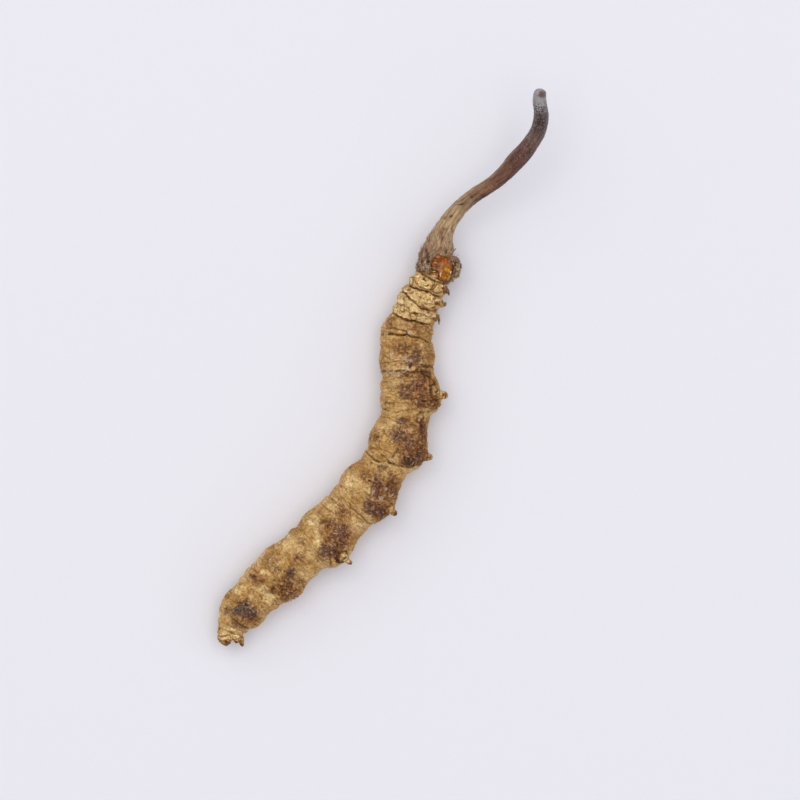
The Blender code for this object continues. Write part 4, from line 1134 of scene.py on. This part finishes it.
def foot_paths(axis):
    """Path and radii of every foot: those of the photograph, and those underneath, which mirror them."""
    paths = []
    for kind, *rows in FEET + tuple(("clasper", *rows) for rows in CLASPERS):
        radii = np.array(rows)[:, 3]
        path = lifted(rows)
        paths.append((kind, path, radii))
        if kind == "clasper":
            continue
        along, side, up = axis.locate(path)
        centre, _, sideways, upward = axis.frames(along)
        level = 2 * LOWER_FEET_TURN - np.arctan2(up, side)
        out = np.cos(level)[:, None] * sideways + np.sin(level)[:, None] * upward
        paths.append((kind, centre + np.hypot(side, up)[:, None] * out, radii))
    return paths


def press_down(mesh, soft=0.2):
    """Flattens what would reach below the surface that the object lies on."""
    points = read_vectors(mesh, "co")
    low = points[:, 2] < soft
    points[low, 2] = soft * np.exp((points[low, 2] - soft) / soft)
    move_points(mesh, points)
    mesh.update()


FRONT_LENGTH, FRONT_SPACING, RING_SPACING = 12.0, 0.055, 0.077  # the front's creases are the finest
RING_POINTS = 136
UPPER_SHARE = 0.35  # how much closer the points are on the flank that faces up
NOSE_RINGS = ((0.35, 2.4), (0.7, 1.3), (0.92, 0.3))  # shares of the first ring, and steps ahead of it
NOSE_STEP = (0.16, 0.3, 0)
TAIL_RINGS = ((0.85, 0.18), (0.5, 0.34), (0.2, 0.4))  # shares of the last ring, and millimetres behind it
FOLD_STRAY, FOLD_STRAY_BELOW, FOLD_STRAY_SIZE = 0.07, 0.14, 1.3  # so the mirrored folds underneath differ
SKIN_LUMP_HEIGHT, SKIN_LUMP_SIZE = 0.08, 1.2
SKIN_LIFT = 0.05  # millimetres that are added all over
FOOT_VOXEL = 0.055
FOOT_RING_SPACING, FOOT_RING_SPREAD, FOOT_RING_DEPTH = 0.34, 0.0018, 0.05
# Millimetres from a foot's end between which the dark of its claw fades out.
CLAW_REACH = {"leg": (0.30, 0.70), "proleg": (0.15, 0.50), "clasper": (0.15, 0.50)}
LOWER_STAIN_SHIFT = (1.3, -2.4, 0)  # how far the stains underneath are from those above
SCATTER_FLOOR = 0.6  # height under which no crumb or thread grows, so that none reaches the floor
SKIN_RELIEF = {"Wrinkle Spacing": (0.42, 1.25, 1.25), "Wrinkle Depth": 0.085, "Grain Size": 0.34,
               "Grain Height": 0.20, "Crust Size": 0.62, "Crust Height": 0.21}


def make_body(skin, relief, material):
    """The larva's body, ring by ring, with its folds."""
    front = np.arange(0, FRONT_LENGTH, FRONT_SPACING)
    at = np.concatenate([front, np.arange(FRONT_LENGTH, skin.axis.length, RING_SPACING)])
    share = np.arange(RING_POINTS) * math.tau / RING_POINTS - math.pi
    level = share + UPPER_SHARE * np.cos(share)
    level = np.where(level < -math.pi, level + math.tau, level)
    at_all, level_all = (grid.ravel() for grid in np.meshgrid(at, level, indexing="ij"))
    points, out = skin.points(at_all, level_all)
    below = smooth_step(-np.sin(level_all), -0.2, 0.5)
    stray = (FOLD_STRAY + FOLD_STRAY_BELOW * below) * rough(points, FOLD_STRAY_SIZE)
    height, depth, clean = skin.relief(at_all + stray, np.abs(level_all))
    points += out * (height + SKIN_LUMP_HEIGHT * rough(points, SKIN_LUMP_SIZE) + SKIN_LIFT)[:, None]
    rings = points.reshape(len(at), RING_POINTS, 3)
    start, end = skin.axis.points[0], rings[-1].mean(0)
    nose = [start + (rings[0] - start) * size + steps * np.array(NOSE_STEP) for size, steps in NOSE_RINGS]
    tail = [end + (rings[-1] - end) * size + (0, -behind, 0) for size, behind in TAIL_RINGS]
    points, faces = loft(np.concatenate([np.array(nose), rings, np.array(tail)]))
    piece = new_object("larva_skin", points, faces)
    added = (len(nose) * RING_POINTS, len(tail) * RING_POINTS)
    folded, clean = (np.pad(values, added) for values in (depth, clean))
    mark_skin(piece.data, skin.axis, folded, np.zeros(len(points)), clean)
    grow(piece, relief, SKIN_RELIEF)
    press_down(piece.data)
    piece.data.materials.append(material)
    return piece


def make_feet(skin, relief, material):
    """The larva's legs, prolegs and claspers."""
    feet = foot_paths(skin.axis)
    piece = new_object("larva_feet", *join([tube(path, radii, 20, 0.06) for _, path, radii in feet]))
    fuse(piece, FOOT_VOXEL)
    points = read_vectors(piece.data, "co")
    claws, folded = np.zeros(len(points)), np.zeros(len(points))
    for kind, path, radii in feet:
        gap = np.linalg.norm(points - path[-1], axis=1)
        reach = np.linalg.norm(path[-1] - path[0])
        claws = np.maximum(claws, 1 - smooth_step(gap, *CLAW_REACH[kind]))
        # Rings of joints, or of folded skin, along the foot: dented a little, and given painted shade.
        ring = np.exp(-((np.mod(gap, FOOT_RING_SPACING) - FOOT_RING_SPACING / 2) ** 2) / FOOT_RING_SPREAD)
        folded = np.maximum(folded, 0.8 * ring * (gap < reach) * (gap > 0.2))
    mark_skin(piece.data, skin.axis, folded, claws, np.zeros(len(points)))
    points -= FOOT_RING_DEPTH * folded[:, None] * read_vectors(piece.data, "normal")
    move_points(piece.data, points)
    grow(piece, relief, {**SKIN_RELIEF, "Wrinkle Depth": 0.04, "Grain Height": 0.18, "Crust Height": 0.08})
    press_down(piece.data)
    piece.data.materials.append(material)
    return piece


def mark_skin(mesh, axis, folded, claws, clean):
    """Stores painted shade in the folds, and where the skin is stained, crusted, dusted with threads, and
    hard at the claws.
    """
    points = read_vectors(mesh, "co")
    lay = np.column_stack(axis.locate(points))
    mark(mesh, "lay", lay)
    mark(mesh, "fold", folded)
    mark(mesh, "claw", claws)
    # The flank underneath has stains of the same kinds in other places.
    below = smooth_step(-lay[:, 2], 0, 1.2)[:, None]
    spots = points + below * LOWER_STAIN_SHIFT
    covers = {name: stain(spots, patches) for name, patches in SKIN_STAINS.items()}
    covers["pale"] = np.maximum(covers["pale"], 0.6 * clean * (1 - 0.8 * covers["wash"]))
    for name, cover in covers.items():
        mark(mesh, name, cover)
    crusted = np.max([covers[name] for name in ("crust", "rust", "dusk", "slate", "dark")], axis=0)
    mark(mesh, "crusted", np.maximum(crusted, 0.45 * covers["wash"]))
    off_floor = points[:, 2] > SCATTER_FLOOR
    mark(mesh, "crumbs", smooth_step(crusted, 0.35, 0.9) * (claws < 0.1) * off_floor)
    mark(mesh, "bloom", stain(spots, [(x, y, radius, radius, 1.0) for x, y, radius in TUFTS]) * off_floor)


STALK_RING_SPACING = 0.08
STALK_RING_POINTS = 120
STALK_VOXEL = 0.066
STRAND_SIZE, STRAND_DRAW = 0.42, 0.22  # the less they are drawn, the longer the strands along the stalk
STALK_RELIEF = {"Wrinkle Spacing": (1.3, 0.26, 0.26), "Wrinkle Depth": 0.035, "Grain Size": 0.25,
                "Grain Height": 0.05, "Crust Size": 0.45, "Crust Height": 0.13}
CRUMPLE_HEIGHT, CRUMPLE_SIZE = 0.18, 0.36
WINDOW_RAGGED, WINDOW_RAGGED_SIZE = 0.07, 0.3


def make_stalk(relief, material):
    """The collar and stalk: furrowed strands that flare to a torn mouth, cut open over the head."""
    rows = np.array(STALK)
    axis = Axis(lifted(rows))
    at = np.arange(0, axis.length, STALK_RING_SPACING)
    turn = np.arange(STALK_RING_POINTS) * math.tau / STALK_RING_POINTS
    at_all, turn_all = (grid.ravel() for grid in np.meshgrid(at, turn, indexing="ij"))
    shift = np.interp(np.degrees(turn_all), *np.array(RIM_SHIFT).T)
    place = at_all + shift * (1 - smooth_step(at_all, 0, 2.0))
    centre, _, side, up = axis.frames(place)
    out = np.cos(turn_all)[:, None] * side + np.sin(turn_all)[:, None] * up
    radius = np.interp(place, axis.knots, rows[:, 3])
    collar = 1 - smooth_step(at_all, 0.6 * COLLAR_LENGTH, 2.3 * COLLAR_LENGTH)
    around = np.column_stack([np.cos(turn_all) * 2, np.sin(turn_all) * 2, at_all * STRAND_DRAW])
    strands = rough(around, STRAND_SIZE)
    radius += (0.02 + 0.14 * collar) * strands - 0.05 * collar
    radius += (0.015 + 0.04 * collar) * rough(centre + out, 0.9)
    ragged = 1 - smooth_step(at_all, 0, 1.3)
    radius += 0.20 * ragged * rough(centre + 2 * out, 0.7)
    points = centre + radius[:, None] * out
    for drop, width, *track in STALK_GROOVES:
        away = track_distance(points[:, :2], from_photo(track)) / width
        points -= out * (drop * np.exp(-(away**2)) * smooth_step(out[:, 2], 0, 0.3))[:, None]
    rings = points.reshape(len(at), STALK_RING_POINTS, 3)
    end, way = axis.frames(np.array([axis.length]))[:2]
    tip = [end + (rings[-1] - rings[-1].mean(0)) * size + ahead * way for size, ahead in STALK_TIP]
    piece = new_object("stalk_flesh", *loft(np.concatenate([rings, np.array(tip)])))
    pocket = np.array(HEAD_HALF_SIZE) - 0.03
    cut(piece, *dome(lifted([HEAD_CENTRE])[0], pocket, HEAD_TURN, 24, 40, HEAD_FULLNESS))
    cut(piece, *window_block())
    points = read_vectors(piece.data, "co")
    # The flesh thins towards the opening, where it hugs the head.
    edge = np.abs(depth_inside(points[:, :2], from_photo(WINDOW)))
    points[:, 2] -= 0.50 * np.exp(-((edge / 0.65) ** 2)) * smooth_step(points[:, 2], 3.9, 4.7)
    fused = [(points, [list(face.vertices) for face in piece.data.polygons])]
    for strand in FRILLS:
        fused.append(tube(lifted(strand), np.array(strand)[:, 3], 14, 0.08))
    bpy.data.objects.remove(piece)
    piece = new_object("stalk_flesh", *join(fused))
    fuse(piece, STALK_VOXEL)
    crumple(piece.data, axis)
    mark_stalk(piece.data, axis, rows[:, 3])
    grow(piece, relief, STALK_RELIEF)
    press_down(piece.data)
    piece.data.materials.append(material)
    return piece


def crumple(mesh, axis):
    """Crumples the torn flesh round the collar's mouth."""
    points = read_vectors(mesh, "co")
    torn = 1 - smooth_step(axis.locate(points)[0], 0.8, 3.4)
    shift = CRUMPLE_HEIGHT * torn * rough(points, CRUMPLE_SIZE, 4)
    move_points(mesh, points + shift[:, None] * read_vectors(mesh, "normal"))


def window_block():
    """The torn opening over the head as an upright block, with a ragged edge."""
    corners = from_photo(WINDOW + WINDOW[:1])
    steps = np.linspace(0, len(WINDOW), 6 * len(WINDOW), endpoint=False)
    knots = np.arange(len(corners))
    edge = np.column_stack([np.interp(steps, knots, corners[:, i]) for i in range(2)])
    flat = np.column_stack([edge, np.zeros(len(edge))])
    edge += WINDOW_RAGGED * np.column_stack([rough(flat + shift, WINDOW_RAGGED_SIZE, 2) for shift in (0, 5)])
    # The list runs clockwise seen from above, and a block's rings run the other way.
    edge = edge[::-1] if np.cross(corners[1] - corners[0], corners[2] - corners[1]) < 0 else edge
    heights = (WINDOW_FLOOR, WINDOW_TOP)
    return loft(np.array([np.column_stack([edge, np.full(len(edge), height)]) for height in heights]))


def mark_stalk(mesh, axis, radii):
    """Stores how far along the stalk each point is, its colours' places, and where it is frosted."""
    points = read_vectors(mesh, "co")
    along, side, up = axis.locate(points)
    mark(mesh, "lay", np.column_stack([along, side, up]))
    reach = along / axis.length
    mark(mesh, "reach", reach)
    radius = np.interp(along, axis.knots, radii)
    # Painted light on the stalk's side away from the larva's belly and painted shade on the side towards it,
    # along its darkening middle.
    across = side / radius
    middle = smooth_step(reach, 0.30, 0.42) * (1 - smooth_step(reach, 0.62, 0.74))
    mark(mesh, "painted_lit_side", 0.6 * middle * smooth_step(across, 0.45, 1.0))
    mark(mesh, "painted_shaded_side", 0.6 * middle * smooth_step(-across, 0.2, 0.9))
    covers = {name: stain(points, patches) for name, patches in STALK_STAINS.items()}
    for name, cover in covers.items():
        mark(mesh, name, cover)
    torn = 1 - smooth_step(along, 0.8, 2.8)
    mark(mesh, "crusted", 0.1 + 0.9 * torn)
    uneven = smooth_step(rough(points, 0.6, 2), -0.3, 0.3)
    mark(mesh, "crumbs", torn * smooth_step(points[:, 2], 2.0, 3.5) * uneven)
    frost = 0.25 * smooth_step(reach, 0.55, 0.7) + 0.50 * smooth_step(reach, 0.89, 0.99)
    mark(mesh, "frost", frost * (1 - TIP_SPOT_BARE * stain(points, [TIP_SPOT])))
    mark(mesh, "tip_spot", stain(points, [TIP_SPOT]))
    # Towards the tip the flanks are greyer than the middle, with a painted sheen of frost seen edge on, and
    # light and dark grains mix.
    mark(mesh, "painted_flank_sheen", smooth_step(reach, 0.74, 0.86) * smooth_step(np.abs(across), 0.3, 0.95))
    mark(mesh, "peppered", smooth_step(reach, 0.78, 0.88) * (1 - smooth_step(reach, 0.95, 0.98)))
    i = np.clip((along / SAMPLE_STEP).astype(int), 0, len(axis.samples) - 1)
    mark(mesh, "grow", axis.forward[i])
    collar = (1 - smooth_step(along, 3.0, 9.0)) * smooth_step(along, -1.6, 0.2)
    mark(mesh, "fibres", collar * (up > -radius * 0.8))


HEAD_ROWS, HEAD_AROUND = 110, 150


def make_head(material):
    """The hard shell of the larva's head, with its sutures."""
    centre = lifted([HEAD_CENTRE])[0]
    points, faces = dome(centre, HEAD_HALF_SIZE, HEAD_TURN, HEAD_ROWS, HEAD_AROUND, HEAD_FULLNESS)
    out = unit((points - centre) / np.array(HEAD_HALF_SIZE) ** 2)
    fold = np.zeros(len(points))
    drop = np.zeros(len(points))
    for depth, width, *track in SUTURES:
        away = track_distance(points[:, :2], from_photo(track)) / width
        groove = np.exp(-(away**2)) * smooth_step(out[:, 2], 0.0, 0.3)
        fold = np.maximum(fold, groove * min(1.0, depth / 0.06))
        drop = np.maximum(drop, depth * groove)
    points = points + out * (0.07 * rough(points, 0.8, 3) - drop)[:, None]
    piece = new_object("head_shell", points, faces)
    mark(piece.data, "fold", fold)
    for name, patches in HEAD_STAINS.items():
        mark(piece.data, name, stain(points, patches))
    piece.data.materials.append(material)
    return piece


def make_bead(material):
    """A bead of dried juice at the upper edge of the head."""
    centre = lifted([BEAD])[0]
    points, faces = dome(centre, BEAD_HALF_SIZE, 0, 30, 40)
    points = points + (points - centre) * (0.12 * rough(points, 0.35, 2))[:, None]
    piece = new_object("head_bead", points, faces)
    piece.data.materials.append(material)
    return piece


def make_bead_material():
    """Dried body juice: hard orange varnish, as glossy as the shell."""
    material, tree, shader = new_material("dried_juice", 0.30, Coat_Weight=0.2, Subsurface_Weight=0.2,
                                          Subsurface_Scale=0.0004)
    place = add_node(tree, "ShaderNodeTexCoord", out=3)
    cloud = add_node(tree, "ShaderNodeTexNoise", {"Vector": place, "Scale": PER_MM / 0.25, "Detail": 3.0})
    colour = add_node(tree, "ShaderNodeValToRGB",
                      {0: cloud}, ((0.38, "#4E2406"), (0.50, "#7A3E0A"), (0.62, "#A46218")))
    tree.links.new(colour, shader.inputs["Base Color"])
    return material


def lump_shape():
    """A grain with twenty faces, one millimetre across, a little flat."""
    turn = (1 + 5**0.5) / 2
    corners = [(-1, turn, 0), (1, turn, 0), (-1, -turn, 0), (1, -turn, 0), (0, -1, turn), (0, 1, turn),
               (0, -1, -turn), (0, 1, -turn), (turn, 0, -1), (turn, 0, 1), (-turn, 0, -1), (-turn, 0, 1)]
    faces = [(0, 11, 5), (0, 5, 1), (0, 1, 7), (0, 7, 10), (0, 10, 11), (1, 5, 9), (5, 11, 4), (11, 10, 2),
             (10, 7, 6), (7, 1, 8), (3, 9, 4), (3, 4, 2), (3, 2, 6), (3, 6, 8), (3, 8, 9), (4, 9, 5),
             (2, 4, 11), (6, 2, 10), (8, 6, 7), (9, 8, 1)]
    points = unit(np.array(corners, float)) * 0.5
    points *= (1 + 0.35 * rough(points, 0.4, 2))[:, None] * (1.0, 0.85, 0.7)
    return new_object("lump", points, faces)


def thread_shape(bend=0.25, thickness=0.09, joints=5, sides=3):
    """A bent, tapering thread one millimetre long, standing up."""
    rings = []
    for step in range(joints + 1):
        share = step / joints
        turn = np.arange(sides) * math.tau / sides
        radius = thickness * 0.5 * (1 - 0.8 * share)
        ring = np.column_stack([radius * np.cos(turn), radius * np.sin(turn), np.full(sides, share)])
        rings.append(ring + (bend * share**2, 0.3 * bend * math.sin(3 * share), 0))
    return new_object("thread", *loft(np.array(rings)))


def scatter(name, base, tree, shape, material, where, per_area, sizes, seed, stand=1.0, along=0.0, stray=1.5):
    """Grows small shapes on a drafted piece, as a piece of their own."""
    piece = bpy.data.objects.new(name, base.data.copy())
    bpy.context.scene.collection.objects.link(piece)
    return grow(piece, tree, {
        "Shape": shape, "Where": where, "Per Square Millimetre": per_area, "Smallest": sizes[0],
        "Largest": sizes[1], "Stand": stand, "Along": along, "Stray": stray, "Seed": seed,
        "Material": material})


relief = make_relief_tree()
skin = Skin()
dried_skin = make_skin_material()
larva = make_body(skin, relief, dried_skin)
feet = make_feet(skin, relief, dried_skin)
stalk = make_stalk(relief, make_stalk_material())
head = make_head(make_capsule_material())
bead = make_bead(make_bead_material())

sow = make_scatter_tree()
lump, thread, strand = lump_shape(), thread_shape(), thread_shape(bend=0.5, thickness=0.24)
earth = make_grain_material("dry_earth", 0.95, ((0.1, "#2A1C14"), (0.6, "#5E4330"), (1.1, "#92714E")))
threads = make_grain_material("fungus_threads", 0.9, ((0.1, "#C9C3BA"), (0.6, "#E6E2DB"), (1.0, "#F6F4F0")))
fibre = make_grain_material("fungus_fibre", 0.85, ((0.1, "#6E523C"), (0.6, "#A08164"), (1.0, "#C9B092")))
bloom = make_grain_material("dried_bloom", 0.9, ((0.1, "#857C7B"), (0.6, "#A8A2A2"), (1.0, "#CFCBCB")))
crumbs = scatter("soil_crumbs", larva, sow, lump, earth, "crumbs", 12, (0.04, 0.13), 3)
tufts = scatter("mycelium_tufts", larva, sow, strand, threads, "bloom", 22, (0.14, 0.40), 5, stand=0.3,
                stray=1.0)
fibres = scatter("collar_fibres", stalk, sow, thread, fibre, "fibres", 2.6, (0.25, 0.7), 7, stand=0.02,
                 along=1.0, stray=0.12)
flakes = scatter("collar_flakes", stalk, sow, lump, fibre, "crumbs", 24, (0.07, 0.22), 9)
frost = scatter("stalk_frost", stalk, sow, lump, bloom, "frost", 22, (0.03, 0.08), 11)
for shape in (lump, thread, strand):
    bpy.data.objects.remove(shape)

finish_piece(larva, "larva_body", "larva_body")
finish_piece(feet, "larva_body")
finish_piece(stalk, "fungus_stalk", "fungus_stalk")
finish_piece(head, "head_capsule", "head_capsule")
finish_piece(bead, "head_capsule")
finish_piece(crumbs, "larva_body")
finish_piece(tufts, "larva_body")
finish_piece(fibres, "fungus_stalk")
finish_piece(frost, "fungus_stalk")
finish_piece(flakes, "fungus_stalk")

# Camera and light
scene = bpy.context.scene
CAMERA_HEIGHT = 0.8
BODY_MIDDLE = 3 * MM  # the height at which a pixel of the picture is PIXEL wide
FRAME_WIDTH = PHOTO_PX * PIXEL * MM
SENSOR_WIDTH = 36
camera = bpy.data.objects.new("camera", bpy.data.cameras.new("camera"))
camera.data.sensor_width = SENSOR_WIDTH
camera.data.lens = SENSOR_WIDTH * CAMERA_HEIGHT / FRAME_WIDTH
camera.data.clip_start = 0.01
centre = from_photo((PHOTO_PX / 2, PHOTO_PX / 2))[0] * MM
camera.location = (centre[0], centre[1], CAMERA_HEIGHT + BODY_MIDDLE)
scene.collection.objects.link(camera)
scene.camera = camera

FLOOR_REACH = 2
floor_corners = [(x * FLOOR_REACH, y * FLOOR_REACH, 0) for x, y in ((-1, -1), (1, -1), (1, 1), (-1, 1))]
floor = new_object("floor", floor_corners, [[0, 1, 2, 3]])
paper, _, paper_shader = new_material("matt_paper", 0.9)
paper_shader.inputs["Base Color"].default_value = hexa("#EBEBF1")
floor.data.materials.append(paper)

world = bpy.data.worlds.new("studio")
scene.world = world
world.use_nodes = True
world.node_tree.nodes["Background"].inputs["Color"].default_value = hexa("#F2F3FA")
world.node_tree.nodes["Background"].inputs["Strength"].default_value = 0.50
# Softboxes: name, place and width in metres, power in watts, and tint.
SOFTBOXES = (
    ("left_softbox", (-0.42, 0.36, 0.60), 0.70, 1.25, "#FFF7EE"),
    ("right_softbox", (0.50, -0.05, 0.62), 0.90, 1.20, "#F6F6FF"),
    ("top_softbox", (0.0, 0.12, 0.90), 0.90, 3.7, "#FFFDFA"),
)
for name, place, size, power, tint in SOFTBOXES:
    light = bpy.data.lights.new(name, "AREA")
    light.size = size
    light.energy = power
    light.color = hexa(tint)[:3]
    lamp = bpy.data.objects.new(name, light)
    lamp.location = place
    lamp.rotation_euler = (-Vector(place)).to_track_quat("-Z", "Y").to_euler()
    scene.collection.objects.link(lamp)
scene.view_settings.view_transform = "Standard"
